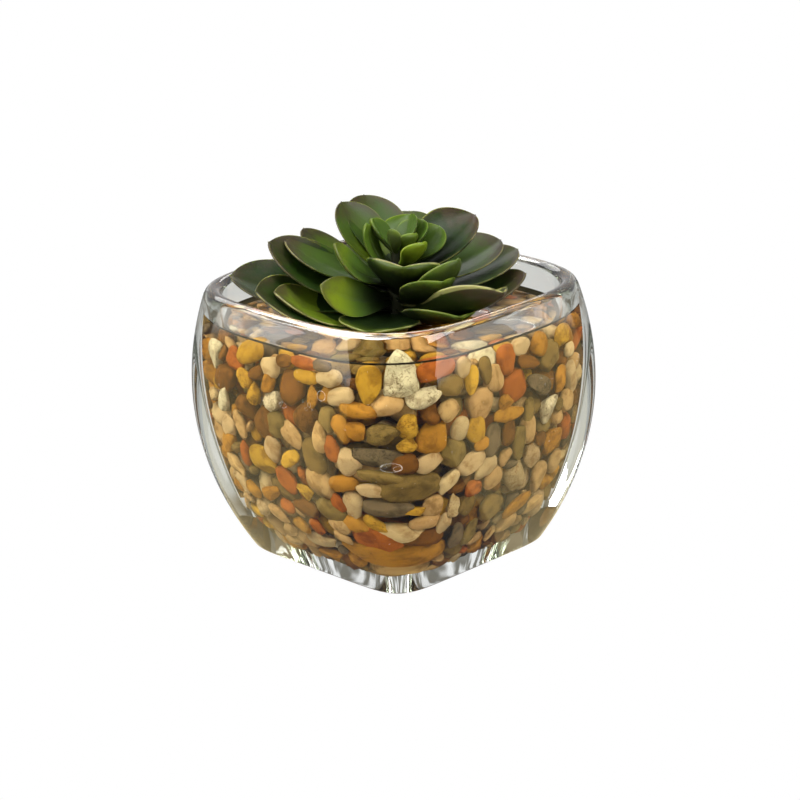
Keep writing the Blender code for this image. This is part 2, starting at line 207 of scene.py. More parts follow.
def squared_rings(half, z, power, sides):
    """A grid of rings: round each, the radius is half / (|cos|^power + |sin|^power)^(1/power)."""
    half, z, power = np.broadcast_arrays(half, z, power)
    turn = np.linspace(0.0, 2.0 * math.pi, sides, endpoint=False)[None, :]
    power = power[:, None]
    spread = (np.abs(np.cos(turn)) ** power + np.abs(np.sin(turn)) ** power) ** (1.0 / power)
    radius = half[:, None] / spread
    height = np.broadcast_to(z[:, None], radius.shape)
    return np.stack([radius * np.cos(turn), radius * np.sin(turn), height], axis=-1)


def closed_skin(rings, start, end):
    """Points of the rings in order, and their faces: squares from ring to ring, then a fan of triangles
    to one point at either end."""
    rows, sides, _ = rings.shape
    points = np.concatenate([[start], rings.reshape(-1, 3), [end]])
    low = 1 + np.arange((rows - 1) * sides)
    turned = low + 1 - sides * ((low % sides) == 0)
    quads = np.stack([low, turned, turned + sides, low + sides], axis=1)
    first = 1 + np.arange(sides)
    last = first + (rows - 1) * sides
    start_fan = np.stack([np.zeros(sides, int), np.roll(first, -1), first], axis=1)
    end_fan = np.stack([last, np.roll(last, -1), np.full(sides, len(points) - 1)], axis=1)
    return points, [quads, start_fan, end_fan]


def new_piece(name, points, faces, materials, slot, *stands_for):
    """A smooth piece on the object's one body, with its finish, in place of the CAD nodes it stands for.
    Its faces come as arrays of squares or of triangles."""
    mesh = bpy.data.meshes.new(name)
    mesh.from_pydata(points.tolist(), [], [face for group in faces for face in group.tolist()])
    mesh.update()
    mesh.shade_smooth()
    for material in materials:
        mesh.materials.append(material)
    piece = bpy.data.objects.new(name, mesh)
    bpy.context.scene.collection.objects.link(piece)
    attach(piece, "root")
    if stands_for:
        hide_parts(*stands_for)
    return piece


def clear_finish(name, tint, shadow, ripple, ripple_depth):
    """Clear and polished, with faint ripples; the more often light has been turned back inside, the
    deeper its green; light that only casts shadows goes straight through."""
    finish = Finish(bpy.data.materials.new(name))
    swell = finish.noise(finish.place(), ripple, 1.0)
    normal = finish.bump(swell, 1.0, ripple_depth)
    deep = (finish.light_path("Glossy Depth") * DEEP_SHARE).clamped()
    sockets = {
        "Base Color": finish.mixed(deep, tint, DEEP_TINT),
        "Roughness": 0.0,
        "IOR": GLASS_IOR,
        "Transmission Weight": 1.0,
        "Normal": normal,
    }
    solid = finish.surface(sockets)
    through = finish.node("ShaderNodeBsdfTransparent", {}, {"Color": (*shadow, 1.0)})
    sockets = {0: finish.light_path("Is Shadow Ray"), 1: solid, 2: through}
    return finish.done(finish.node("ShaderNodeMixShader", {}, sockets))


def wetted_faces(heights):
    """True where the resin wets the glass: it has drawn off it a hair on the two rear walls, but for
    their foot. Takes the height of each face, side by side round each ring."""
    bearing = (np.arange(len(heights)) % GLASS_SIDES + 0.5) * 360.0 / GLASS_SIDES
    return (np.abs(bearing - DRY_BEARING) > DRY_HALF_WIDTH) | (heights < DRY_FROM_HEIGHT)


def wetted_finish(name):
    """Where resin wets glass the two bend light alike, so the face between them can't be seen."""
    finish = Finish(bpy.data.materials.new(name))
    return finish.done(finish.surface({"Base Color": (1.0, 1.0, 1.0, 1.0), "Roughness": 0.0, "Alpha": 0.0}))


lip_radius = WALL / 2
shoulder = GLASS_HEIGHT - lip_radius
foot_turn = np.radians(np.linspace(0, 90, 7))
foot_z = FOOT_ROUNDING * (1.0 - np.cos(foot_turn))
foot_half = outer_half(foot_z) - FOOT_ROUNDING * (1.0 - np.sin(foot_turn))
side_z = np.linspace(FOOT_ROUNDING, shoulder, 70)[1:]
lip_turn = np.radians(np.linspace(0, 180, 15))[1:-1]
lip_z = shoulder + lip_radius * np.sin(lip_turn)
lip_half = outer_half(shoulder) - lip_radius + lip_radius * np.cos(lip_turn)
hollow_side_z = np.concatenate(
    [
        np.linspace(shoulder, RESIN_LEVEL + MENISCUS_RISE, LIP_TO_RESIN_RINGS),
        np.linspace(RESIN_LEVEL + MENISCUS_RISE, FLOOR + HOLLOW_FOOT_RADIUS, 40)[1:],
        FLOOR + HOLLOW_FOOT_RADIUS * (1.0 - np.sin(np.radians(np.linspace(0, 90, 16))[1:])),
    ]
)
foot_flat = squared_rings(foot_half[:1] - FOOT_FLAT_INSET, 0.0, BASE_SQUARENESS, GLASS_SIDES)
foot_edge = squared_rings(foot_half, foot_z, outer_power(foot_z), GLASS_SIDES)
side = squared_rings(outer_half(side_z), side_z, outer_power(side_z), GLASS_SIDES)
lip = squared_rings(lip_half, lip_z, RIM_SQUARENESS, GLASS_SIDES)
hollow = squared_rings(hollow_half(hollow_side_z), hollow_side_z, hollow_power(hollow_side_z), GLASS_SIDES)
floor_half = hollow_half(np.array([FLOOR])) - HOLLOW_FLOOR_INSET
floor_rim = squared_rings(floor_half, FLOOR, HOLLOW_FOOT_SQUARENESS, GLASS_SIDES)
glass_rings = np.concatenate([foot_flat, foot_edge, side, lip, hollow, floor_rim])
glass_points, glass_faces = closed_skin(glass_rings, (0.0, 0.0, 0.0), (0.0, 0.0, FLOOR))
clear_glass = clear_finish("clear_glass", GLASS_TINT, GLASS_SHADOW, MOULD_RIPPLE, MOULD_RIPPLE_DEPTH)
wetted_glass = wetted_finish("wetted_glass")
glass_cube = new_piece(
    "glass_cube_fine", glass_points, glass_faces, [clear_glass, wetted_glass], "clear_glass", "glass_cube"
)
first_wet_row = len(foot_flat) + len(foot_edge) + len(side) + len(lip) + LIP_TO_RESIN_RINGS - 1
quad_rows = np.arange(len(glass_rings) - 1).repeat(GLASS_SIDES)
wet = (quad_rows >= first_wet_row) & wetted_faces(glass_rings[quad_rows, 0, 2])
wet = np.concatenate([wet, np.zeros(GLASS_SIDES, bool), np.ones(GLASS_SIDES, bool)])
glass_cube.data.polygons.foreach_set("material_index", wet.astype(np.int32))


# River pebbles
# Tumbled gravel of mixed rock, about 8 mm: quartz, sandstone, jasper, schist and river brown. Poured
# in loose and held by the resin, so they lie packed against the glass with their flat sides out.

BED_INSET = 0.0013
BED_TOP = RESIN_LEVEL - 0.0012
PEBBLE_HALF_LENGTH = 0.0045
PEBBLE_SPREAD = 0.28
PEBBLE_SMALLEST = 0.0023
PEBBLE_LARGEST = 0.0075
PEBBLE_WIDTH_SHARE = (0.62, 0.90)
PEBBLE_DEPTH_SHARE = (0.45, 0.72)
ANGULAR_SHARE = 0.25
PACKED_SHARE = 0.66
PLAN_SHARE = 3.66
POURED_HALF = 0.052
POURED_ROOM = 0.003
POURED_MOST = 4000
STONE_SQUARENESS = 2.5
STONE_CUTS = 8
CUT_HEIGHTS = (0.70, 1.05)
CUT_SHARE = 0.92
ANGULAR_CUT = 0.82
POINTED_SHIFT = 0.42
POINTED_TAPER = 0.30
TUMBLED_TAPER = (-0.3, 0.3)
STONE_SWELL = 0.03
SEEN_FROM_SIDE = 0.022
SEEN_FROM_TOP = 0.018
SEEN_FROM_BELOW = 0.009
PEBBLE_SEED = 11
SETTLING_STEPS = 90
SETTLING_SINK = 0.00012
SETTLING_PUSH = 0.45
ALONG_WALL_REACH = 0.007

# The photograph's camera, which the stones in front are placed by, and its width in pixels
CAMERA_AZIMUTH = 45.36
CAMERA_ELEVATION = 18.95
CAMERA_DISTANCE = 0.843
CAMERA_AIM = (0.0, 0.0, 0.045)
CAMERA_LENS = 115.2
CAMERA_SHIFT = (0.0066, 0.0152)
CAMERA_ROLL = 0.0311
SENSOR_WIDTH = 36.0
PHOTO_WIDTH = 800.0
PIXELS_PER_METRE = 3040.0
CLEAR_OF_GLASS = 0.12
FRONT_STONE_FULLNESS = 1.06
FRONT_STONE_DEPTH = 0.72
FRONT_STONE_STRETCH = (0.75, 1.4)
FRONT_STONE_REACH = 0.016
FRONT_STONE_OVERLAP = 0.45

# Stones that show in front. Pixel across and down in the photograph, length and width in pixels, tilt
# of the length in degrees, kind of rock, and form: 0 tumbled, 1 angular, 2 angular and pointed
FRONT_STONES = (
    (401, 376, 46, 38, 84, "white", 2), (366, 388, 37, 27, 88, "yellow", 0),
    (439, 371, 36, 24, 22, "coral", 0), (428, 399, 34, 25, 6, "white", 1),
    (385, 408, 33, 21, 12, "sand", 0), (357, 413, 37, 17, -18, "ochre", 0),
    (409, 429, 24, 23, 80, "yellow", 1), (408, 447, 20, 15, 10, "yellow", 1),
    (454, 386, 26, 21, 5, "olive", 0), (519, 386, 32, 26, 95, "coral", 0),
    (511, 360, 29, 19, 92, "coral", 0), (466, 369, 20, 15, 60, "cream", 0),
    (474, 381, 28, 14, 88, "yellow", 0), (488, 371, 26, 13, 100, "olive", 0),
    (498, 379, 27, 19, 85, "sand", 0), (524, 347, 18, 16, 90, "cream", 0),
    (531, 363, 24, 18, -15, "brown", 0), (543, 344, 24, 19, 75, "ochre", 0),
    (566, 337, 17, 16, 40, "yellow", 1), (555, 357, 29, 21, 65, "olive", 0),
    (573, 349, 15, 11, 90, "cream", 0), (576, 375, 28, 16, 95, "cream", 0),
    (564, 379, 26, 13, 85, "ochre", 0), (542, 385, 25, 20, -20, "slate", 1),
    (571, 402, 24, 19, 80, "sand", 0), (552, 408, 31, 18, 70, "white", 1),
    (532, 411, 27, 12, 88, "olive", 0), (509, 415, 34, 13, 22, "ochre", 0),
    (509, 402, 17, 13, 30, "ochre", 1), (452, 412, 22, 18, 40, "sand", 0),
    (484, 404, 36, 26, 70, "sand", 0), (462, 430, 23, 16, 80, "cream", 0),
    (480, 431, 24, 19, 60, "yellow", 0), (437, 440, 33, 31, 70, "ochre", 0),
    (531, 431, 27, 17, 95, "sand", 0), (495, 442, 34, 15, 88, "slate", 0),
    (511, 434, 26, 14, 85, "brown", 0), (521, 444, 38, 12, 82, "olive", 0),
    (557, 441, 32, 26, 60, "ochre", 1), (535, 458, 24, 16, 110, "cream", 1),
    (560, 461, 21, 17, 60, "sand", 0), (507, 458, 20, 13, 60, "sand", 0),
    (456, 457, 30, 25, 60, "olive", 0), (474, 464, 31, 20, 25, "cream", 0),
    (484, 445, 16, 12, 20, "ochre", 0), (430, 466, 28, 21, 30, "cream", 0),
    (407, 468, 26, 22, 10, "brown", 0), (487, 470, 29, 14, 35, "cream", 0),
    (495, 481, 26, 16, 50, "sand", 0), (476, 490, 16, 15, 0, "coral", 0),
    (449, 485, 31, 16, 56, "cream", 0), (519, 479, 33, 27, 75, "cream", 1),
    (542, 478, 31, 18, 72, "sand", 0), (411, 491, 59, 27, 7, "olive", 0),
    (454, 507, 25, 14, 76, "cream", 2), (469, 506, 25, 19, 50, "olive", 0),
    (494, 509, 29, 21, 65, "olive", 0), (416, 513, 26, 10, 6, "yellow", 1),
    (434, 509, 21, 18, 80, "sand", 0), (427, 524, 29, 13, 12, "sand", 0),
    (445, 525, 21, 11, 74, "cream", 0), (426, 541, 36, 14, 8, "brown", 0),
    (471, 535, 26, 15, 60, "olive", 0), (457, 538, 22, 14, 75, "slate", 0),
    (507, 527, 27, 16, 42, "sand", 0), (519, 506, 36, 13, 42, "ochre", 0),
    (534, 506, 28, 12, 42, "sand", 0), (403, 563, 78, 25, 3, "ochre", 0),
    (374, 542, 48, 25, -14, "coral", 0), (398, 536, 36, 19, -4, "cream", 0),
    (375, 526, 27, 12, -36, "yellow", 1), (355, 526, 31, 17, -20, "ochre", 0),
    (385, 511, 42, 16, -4, "slate", 0), (352, 508, 27, 20, 84, "cream", 0),
    (337, 505, 21, 13, -60, "coral", 0), (369, 493, 30, 14, -6, "cream", 0),
    (342, 486, 27, 18, 4, "ochre", 0), (376, 479, 44, 13, -10, "olive", 0),
    (346, 465, 28, 20, -62, "cream", 0), (375, 460, 50, 21, -8, "slate", 1),
    (380, 438, 36, 22, -12, "olive", 1), (354, 433, 22, 17, -25, "ochre", 0),
    (339, 431, 29, 17, -70, "ochre", 0), (330, 451, 26, 16, 100, "coral", 0),
    (317, 438, 30, 13, 95, "sand", 0), (311, 458, 38, 22, -70, "olive", 0),
    (318, 486, 40, 25, -58, "sand", 0), (304, 493, 22, 13, -40, "yellow", 1),
    (284, 482, 31, 18, -44, "coral", 0), (288, 460, 21, 16, 30, "yellow", 0),
    (261, 462, 29, 20, -22, "yellow", 0), (270, 450, 21, 18, 80, "cream", 0),
    (243, 454, 24, 11, 100, "coral", 0), (269, 493, 20, 15, 20, "ochre", 1),
    (251, 491, 17, 13, -40, "ochre", 0), (224, 441, 23, 17, 80, "ochre", 0),
    (233, 466, 24, 14, -52, "sand", 0), (241, 483, 24, 12, -68, "cream", 0),
    (263, 428, 34, 25, -50, "brown", 0), (289, 436, 30, 16, -50, "sand", 0),
    (237, 425, 29, 13, -74, "sand", 0), (273, 427, 26, 20, -60, "olive", 0),
    (325, 421, 25, 17, 84, "olive", 0), (302, 417, 28, 22, 70, "brown", 1),
    (270, 403, 22, 19, 84, "white", 1), (250, 395, 25, 18, -60, "yellow", 1),
    (221, 402, 27, 13, 85, "white", 1), (225, 427, 18, 14, 80, "cream", 0),
    (288, 388, 36, 27, 80, "brown", 0), (310, 397, 25, 14, 85, "ochre", 1),
    (338, 398, 25, 18, 8, "cream", 0), (325, 380, 25, 19, 8, "cream", 0),
    (304, 377, 23, 14, -12, "yellow", 0), (265, 383, 19, 14, 60, "ochre", 0),
    (267, 368, 23, 18, -70, "cream", 0), (254, 374, 16, 13, 30, "brown", 0),
    (241, 380, 17, 14, -40, "yellow", 1), (219, 378, 26, 22, 40, "brown", 0),
    (231, 361, 24, 16, -62, "coral", 0), (246, 352, 27, 25, 20, "yellow", 0),
    (210, 353, 27, 22, 85, "white", 1), (282, 361, 15, 14, 0, "brown", 0),
    (301, 363, 25, 13, -16, "coral", 0), (320, 366, 17, 13, -10, "slate", 0),
    (331, 513, 30, 16, -16, "olive", 0), (305, 510, 27, 15, -20, "brown", 0),
    (277, 515, 27, 12, -40, "sand", 0), (316, 528, 20, 13, -52, "coral", 0),
    (301, 527, 20, 12, -30, "ochre", 0), (290, 533, 17, 13, 70, "sand", 0),
    (338, 527, 22, 13, -20, "sand", 0), (322, 544, 34, 15, -12, "cream", 0),
    (343, 540, 22, 10, -30, "sand", 0), (356, 553, 29, 14, -14, "ochre", 0),
    (332, 557, 28, 11, -16, "ochre", 0),
)


def inside_glass(points):
    """How far inside the glass's outline each point is, measured level."""
    power = outer_power(points[:, 2])
    return outer_half(points[:, 2]) - (np.abs(points[:, :2]) ** power[:, None]).sum(axis=1) ** (1.0 / power)


def inside_bed(points):
    """How far inside the bed's outline each point is, measured level."""
    power = hollow_power(points[:, 2])
    across = (np.abs(points[:, :2]) ** power[:, None]).sum(axis=1) ** (1.0 / power)
    return hollow_half(points[:, 2], BED_INSET) - across


def room_and_way_out(inside, points):
    """Distance to an outline and the outward normal there: the level distance over its slope."""
    step = 0.0002
    base = inside(points)
    slope = np.stack([inside(points + step * axis) - base for axis in np.eye(3)], axis=1) / step
    steep = np.linalg.norm(slope, axis=1) + 1e-9
    return base / steep, -slope / steep[:, None]


def follow(points, ways, inside):
    """Moves the points along their ways, in steps that shrink with what is left, until they are inside."""
    for _ in range(60):
        points = points - 0.6 * np.minimum(inside(points), 0.0)[:, None] * ways
    return points


def way_to(azimuth, elevation):
    """The way of length 1 from the object to what stands at these degrees round it and up."""
    a, e = math.radians(azimuth), math.radians(elevation)
    return np.array([math.sin(a) * math.cos(e), -math.cos(a) * math.cos(e), math.sin(e)])


def seen_through_glass(pixels):
    """Where the line of sight through each pixel, bent by the glass, comes to the bed's outline."""
    back = way_to(CAMERA_AZIMUTH, CAMERA_ELEVATION)
    right = way_to(CAMERA_AZIMUTH + 90.0, 0.0)
    up = np.cross(back, right)
    middle = PHOTO_WIDTH * np.array([0.5 - CAMERA_SHIFT[0], 0.5 + CAMERA_SHIFT[1]])
    focal = PHOTO_WIDTH * CAMERA_LENS / SENSOR_WIDTH
    across, down = (pixels - middle).T / focal
    u = across * math.cos(CAMERA_ROLL) - down * math.sin(CAMERA_ROLL)
    v = across * math.sin(CAMERA_ROLL) + down * math.cos(CAMERA_ROLL)
    ways = u[:, None] * right - v[:, None] * up - back
    ways /= np.linalg.norm(ways, axis=1)[:, None]
    start = np.array(CAMERA_AIM) + back * CAMERA_DISTANCE + ways * (CAMERA_DISTANCE - CLEAR_OF_GLASS)
    on_glass = follow(start, ways, inside_glass)
    facing = room_and_way_out(inside_glass, on_glass)[1]
    straight = -np.sum(ways * facing, axis=1)[:, None]
    inward = straight / GLASS_IOR - np.sqrt(1.0 - (1.0 - straight**2) / GLASS_IOR**2)
    bent = ways / GLASS_IOR + inward * facing
    return follow(on_glass, bent, inside_bed)


def rotations(long_way, thin_way):
    """Turning matrices whose columns are the long, middle and thin ways of each pebble."""
    thin_way = thin_way / np.linalg.norm(thin_way, axis=1)[:, None]
    long_way = long_way - thin_way * np.sum(long_way * thin_way, axis=1)[:, None]
    long_way = long_way / np.linalg.norm(long_way, axis=1)[:, None]
    return np.stack([long_way, np.cross(thin_way, long_way), thin_way], axis=2)


def settle(centres, turns, halves, held, steps):
    """Pushes pebbles that overlap apart, in from the walls and down, until the bed lies packed.
    A pebble's reach toward a neighbour is the mean of its radius and its support that way. The first
    pebbles, as many as are held, stay where they are."""
    count = len(centres)
    resting = centres[:held].copy()
    for step in range(steps):
        if step % 5 == 0:
            square = np.sum(centres**2, axis=1)
            apart = square[:, None] + square[None, :] - 2.0 * centres @ centres.T
            reach = halves.max(axis=1)
            near = apart < (reach[:, None] + reach[None, :] + 0.001) ** 2
            one, two = np.nonzero(np.triu(near, 1))
        between = centres[two] - centres[one]
        distance = np.linalg.norm(between, axis=1) + 1e-9
        between /= distance[:, None]
        total = 0.0
        for side in (one, two):
            local = np.einsum("nij,ni->nj", turns[side], between)
            radius = 1.0 / np.sqrt(np.sum((local / halves[side]) ** 2, axis=1))
            support = np.sqrt(np.sum((local * halves[side]) ** 2, axis=1))
            total = total + 0.5 * (radius + support)
        overlap = np.maximum(total - distance, 0.0) * SETTLING_PUSH
        push = overlap[:, None] * between
        move = np.zeros_like(centres)
        for axis in range(3):
            move[:, axis] -= np.bincount(one, push[:, axis], count)
            move[:, axis] += np.bincount(two, push[:, axis], count)
        centres = centres + move
        centres[:, 2] -= SETTLING_SINK * (1.0 - step / steps)
        room, outward = room_and_way_out(inside_bed, centres)
        local = np.einsum("nij,ni->nj", turns, outward)
        thick = np.sqrt(np.sum((local * halves) ** 2, axis=1))
        centres = centres - outward * np.maximum(thick - room, 0.0)[:, None]
        tall = np.sqrt(np.sum((turns[:, 2, :] * halves) ** 2, axis=1))
        centres[:, 2] = np.clip(centres[:, 2], FLOOR + BED_INSET + tall, BED_TOP - tall)
        centres[:held] = resting
    return centres


def stone_shapes(draw, forms, fineness):
    """Unit stones: a ball of square patches, squared off a little, flattened by a few random planes and
    drawn in toward one end. Angular forms are cut deeper; pointed ones have their girth near one end."""
    count = len(forms)
    line = np.tan(np.linspace(-1.0, 1.0, fineness + 1) * math.pi / 4)
    u, v = np.meshgrid(line, line, indexing="ij")
    one = np.ones_like(u)
    sides = [(u, v, one), (v, u, -one), (one, u, v), (-one, v, u), (v, one, u), (u, -one, v)]
    patches = np.stack([np.stack(side, axis=-1).reshape(-1, 3) for side in sides])
    patches /= np.linalg.norm(patches, axis=-1, keepdims=True)
    corners = patches.reshape(-1, 3)
    _, first, place = np.unique(np.round(corners, 5), axis=0, return_index=True, return_inverse=True)
    ball = corners[first]
    place = place.reshape(6, fineness + 1, fineness + 1)
    low = place[:, :-1, :-1]
    faces = np.stack([low, place[:, 1:, :-1], place[:, 1:, 1:], place[:, :-1, 1:]], axis=-1).reshape(-1, 4)
    planes = draw.normal(size=(count, STONE_CUTS, 3))
    planes /= np.linalg.norm(planes, axis=2, keepdims=True)
    heights = draw.uniform(*CUT_HEIGHTS, (count, STONE_CUTS))
    heights *= np.where(forms > 0, ANGULAR_CUT, 1.0)[:, None]
    squared = (np.abs(ball) ** STONE_SQUARENESS).sum(axis=1, keepdims=True) ** (1.0 / STONE_SQUARENESS)
    points = np.repeat((ball / squared)[None], count, axis=0)
    for k in range(STONE_CUTS):
        over = np.maximum(points @ planes[:, k, :, None] - heights[:, k, None, None], 0.0)
        points = points - CUT_SHARE * over * planes[:, k, None, :]
    pointed = (forms == 2)[:, None, None]
    points[..., :1] -= pointed * POINTED_SHIFT * (1.0 - points[..., :1] ** 2)
    taper = np.where(forms == 2, POINTED_TAPER, draw.uniform(*TUMBLED_TAPER, count))[:, None, None]
    points[..., 1:] *= 1.0 - taper * (points[..., :1] + np.sign(taper)) / 2.0
    lumps = draw.normal(size=(count, 3, 3)) * 1.6
    phases = draw.uniform(0.0, 2.0 * math.pi, (count, 1, 3))
    swell = np.sum(np.sin(points @ lumps + phases), axis=2, keepdims=True)
    points = points * (1.0 + STONE_SWELL * swell)
    return points, faces


draw = np.random.default_rng(PEBBLE_SEED)
spots = np.array([row[:2] for row in FRONT_STONES], float)
longest, widest, tilt = np.array([row[2:5] for row in FRONT_STONES], float).T
along = np.stack([np.cos(np.radians(tilt)), -np.sin(np.radians(tilt))], axis=1)
aside = np.stack([along[:, 1], -along[:, 0]], axis=1)
on_wall = seen_through_glass(spots)
ends = []
for way in (longest[:, None] * along, widest[:, None] * aside):
    for side in (-0.5, 0.5):
        end = seen_through_glass(spots + side * way)
        near = np.linalg.norm(end - on_wall, axis=1)[:, None] < FRONT_STONE_REACH
        ends.append(np.where(near, end, on_wall))
length_way, width_way = ends[1] - ends[0], ends[3] - ends[2]
half_spans = []
for seen_span, way in ((longest, length_way), (widest, width_way)):
    plain = 0.5 * seen_span / PIXELS_PER_METRE
    least, most = FRONT_STONE_STRETCH
    span = np.clip(np.linalg.norm(way, axis=1) / 2.0, least * plain, most * plain)
    half_spans.append(FRONT_STONE_FULLNESS * span)
half_length, half_width = half_spans
half_depth = FRONT_STONE_DEPTH * half_width
outward = room_and_way_out(inside_bed, on_wall)[1]
front_turns = rotations(length_way, outward)
front_halves = np.stack([half_length, half_width, half_depth], axis=1)
front_centres = on_wall - outward * half_depth[:, None]
held = len(FRONT_STONES)

bed_halves = hollow_half(np.linspace(FLOOR + BED_INSET, BED_TOP, 60), BED_INSET)
bed_volume = PLAN_SHARE * (bed_halves**2).mean() * (BED_TOP - FLOOR - BED_INSET)
bed_volume -= 4.0 / 3.0 * math.pi * front_halves.prod(axis=1).sum() / PACKED_SHARE
length = PEBBLE_HALF_LENGTH * np.exp(PEBBLE_SPREAD * draw.normal(size=POURED_MOST))
length = np.clip(length, PEBBLE_SMALLEST, PEBBLE_LARGEST)
width_share = draw.uniform(*PEBBLE_WIDTH_SHARE, POURED_MOST)
depth_share = draw.uniform(*PEBBLE_DEPTH_SHARE, POURED_MOST)
halves = np.stack([length, length * width_share, length * depth_share], axis=1)
filled = np.cumsum(4.0 / 3.0 * math.pi * halves.prod(axis=1))
count = int(np.searchsorted(filled, PACKED_SHARE * bed_volume))
halves = halves[:count]
low, high = (-POURED_HALF, -POURED_HALF, FLOOR), (POURED_HALF, POURED_HALF, BED_TOP)
tries = draw.uniform(low, high, (count * 4, 3))
tries = tries[inside_bed(tries) > POURED_ROOM]
centres = tries[:count]
room, outward = room_and_way_out(inside_bed, centres)
by_wall = np.exp(-np.maximum(room, 0.0) / ALONG_WALL_REACH)[:, None]
thin_way = outward * by_wall * 1.3 + np.array([0.0, 0.0, 1.0]) * (1.1 - by_wall)
thin_way = thin_way + draw.normal(size=(count, 3)) * 0.45
long_way = np.cross(outward, [0.0, 0.0, 1.0]) + draw.normal(size=(count, 3)) * 0.6
turns = np.concatenate([front_turns, rotations(long_way, thin_way)])
halves = np.concatenate([front_halves, halves])
centres = settle(np.concatenate([front_centres, centres]), turns, halves, held, SETTLING_STEPS)
room = room_and_way_out(inside_bed, centres)[0]
height = centres[:, 2]
seen = (height > BED_TOP - SEEN_FROM_TOP) | (height < FLOOR + SEEN_FROM_BELOW) | (room < SEEN_FROM_SIDE)
ways = centres[None, :held] - centres[held:, None]
distance = np.linalg.norm(ways, axis=2)
ways /= distance[:, :, None]
local = np.einsum("nij,mni->mnj", turns[:held], ways)
front_reach = 1.0 / np.sqrt(np.sum((local / halves[None, :held]) ** 2, axis=2))
local = np.einsum("mij,mni->mnj", turns[held:], ways)
own_reach = 1.0 / np.sqrt(np.sum((local / halves[held:, None]) ** 2, axis=2))
seen[held:] &= np.all(front_reach + own_reach - distance < FRONT_STONE_OVERLAP * halves[held:, 2:], axis=1)
seen[:held] = True
centres, turns, halves = centres[seen], turns[seen], halves[seen]
count = len(centres)
poured_forms = draw.uniform(size=count - held) < ANGULAR_SHARE
forms = np.concatenate([[row[6] for row in FRONT_STONES], poured_forms]).astype(int)

# Each kind of rock: its share of the gravel, its colour and the colour of its marks
STONES = {
    "white": (0.02, (0.420, 0.350, 0.185), (0.20, 0.14, 0.06)),
    "cream": (0.15, (0.345, 0.240, 0.098), (0.20, 0.10, 0.025)),
    "sand": (0.21, (0.318, 0.192, 0.062), (0.15, 0.070, 0.014)),
    "ochre": (0.16, (0.275, 0.122, 0.010), (0.12, 0.042, 0.004)),
    "yellow": (0.06, (0.330, 0.178, 0.013), (0.16, 0.068, 0.005)),
    "coral": (0.07, (0.240, 0.064, 0.006), (0.13, 0.026, 0.003)),
    "olive": (0.16, (0.148, 0.092, 0.020), (0.065, 0.038, 0.008)),
    "slate": (0.06, (0.100, 0.067, 0.028), (0.042, 0.030, 0.013)),
    "brown": (0.11, (0.115, 0.043, 0.004), (0.045, 0.016, 0.002)),
}


def stone_finish(name, colour, mark):
    """Rock: its colour shifts from stone to stone, with grain, clouds and darker marks in its own frame;
    angular stones are rougher, with pits and dark cracks."""
    finish = Finish(bpy.data.materials.new(name))
    grain = finish.attribute("grain", "Vector")
    shade = finish.attribute("shade")
    warmth = finish.attribute("warmth")
    rough = finish.attribute("rough")
    cloud = finish.noise(grain, 230.0, 3.0, 0.6, 0.4)
    bright = finish.noise(grain, 130.0, 1.0).swept(0.45, 0.70)
    fleck = finish.noise(grain, 1100.0, 3.0, 0.65)
    crack = finish.noise(grain, 420.0, 2.0, 0.5, 1.2)
    crack = 1.0 - abs(crack - 0.5).swept(0.0, 0.035)
    marks = cloud.swept(0.46, 0.70) * 0.7 + fleck.swept(0.55, 0.72) * (0.25 + rough * 0.45)
    marks = marks + crack * rough * 0.6
    pale = tuple(min(1.0, c * 1.5 + 0.004) for c in colour)
    ruddy = (colour[0] * 1.02, colour[1] * 0.87, colour[2] * 0.85)
    base = finish.mixed(shade * 0.6 + bright * 0.5, colour, pale)
    base = finish.mixed(warmth * 0.6, base, ruddy)
    body = finish.mixed(marks, base, mark)
    height = cloud * 0.4 + fleck * (0.3 + rough * 0.5) - crack * rough * 0.3
    sockets = {
        "Base Color": body,
        "Roughness": 0.6,
        "Specular IOR Level": 0.03,
        "Normal": finish.bump(height, 0.6, 0.0005),
    }
    return finish.done(finish.surface(sockets))


def label_points(piece, label, values):
    """Writes a number or a vector for each point of the piece, which its finish reads by the label."""
    flat = values.ndim == 1
    layer = piece.data.attributes.new(label, "FLOAT" if flat else "FLOAT_VECTOR", "POINT")
    layer.data.foreach_set("value" if flat else "vector", values.astype(np.float32).ravel())


shares = np.array([row[0] for row in STONES.values()])
kinds = draw.choice(len(STONES), count, p=shares / shares.sum())
kinds[:held] = [list(STONES).index(row[5]) for row in FRONT_STONES]
grain_shift = draw.uniform(-0.5, 0.5, (count, 1, 3))
looks = {"shade": draw.uniform(0.0, 1.0, count), "warmth": draw.uniform(0.0, 1.0, count)}
looks["rough"] = (forms > 0) * 1.0
for number, (kind, (_, colour, mark)) in enumerate(STONES.items()):
    point_sets, face_sets, grain_sets, members = [], [], [], []
    total = 0
    for fineness, group in ((7, np.arange(held)), (3, np.arange(held, count))):
        chosen = group[kinds[group] == number]
        shapes, stone_faces = stone_shapes(draw, forms[chosen], fineness)
        local_points = shapes * halves[chosen][:, None, :]
        points = np.einsum("nij,nvj->nvi", turns[chosen], local_points) + centres[chosen][:, None, :]
        per = points.shape[1]
        faces = stone_faces[None] + (total + np.arange(len(chosen)) * per)[:, None, None]
        total += len(chosen) * per
        point_sets.append(points.reshape(-1, 3))
        face_sets.append(faces.reshape(-1, 4))
        grain_sets.append((local_points + grain_shift[chosen]).reshape(-1, 3))
        members.append(np.repeat(chosen, per))
    piece = new_piece(
        f"pebbles_{kind}",
        np.concatenate(point_sets),
        face_sets,
        [stone_finish(f"{kind}_stone", colour, mark)],
        "river_pebble",
        "pebble_bed",
    )
    label_points(piece, "grain", np.concatenate(grain_sets))
    for label, values in looks.items():
        label_points(piece, label, values[np.concatenate(members)])


# Resin
# Clear casting resin poured over the gravel. It wets the glass, creeps a little up it at the edge, and
# has set with a few air bubbles among the stones.

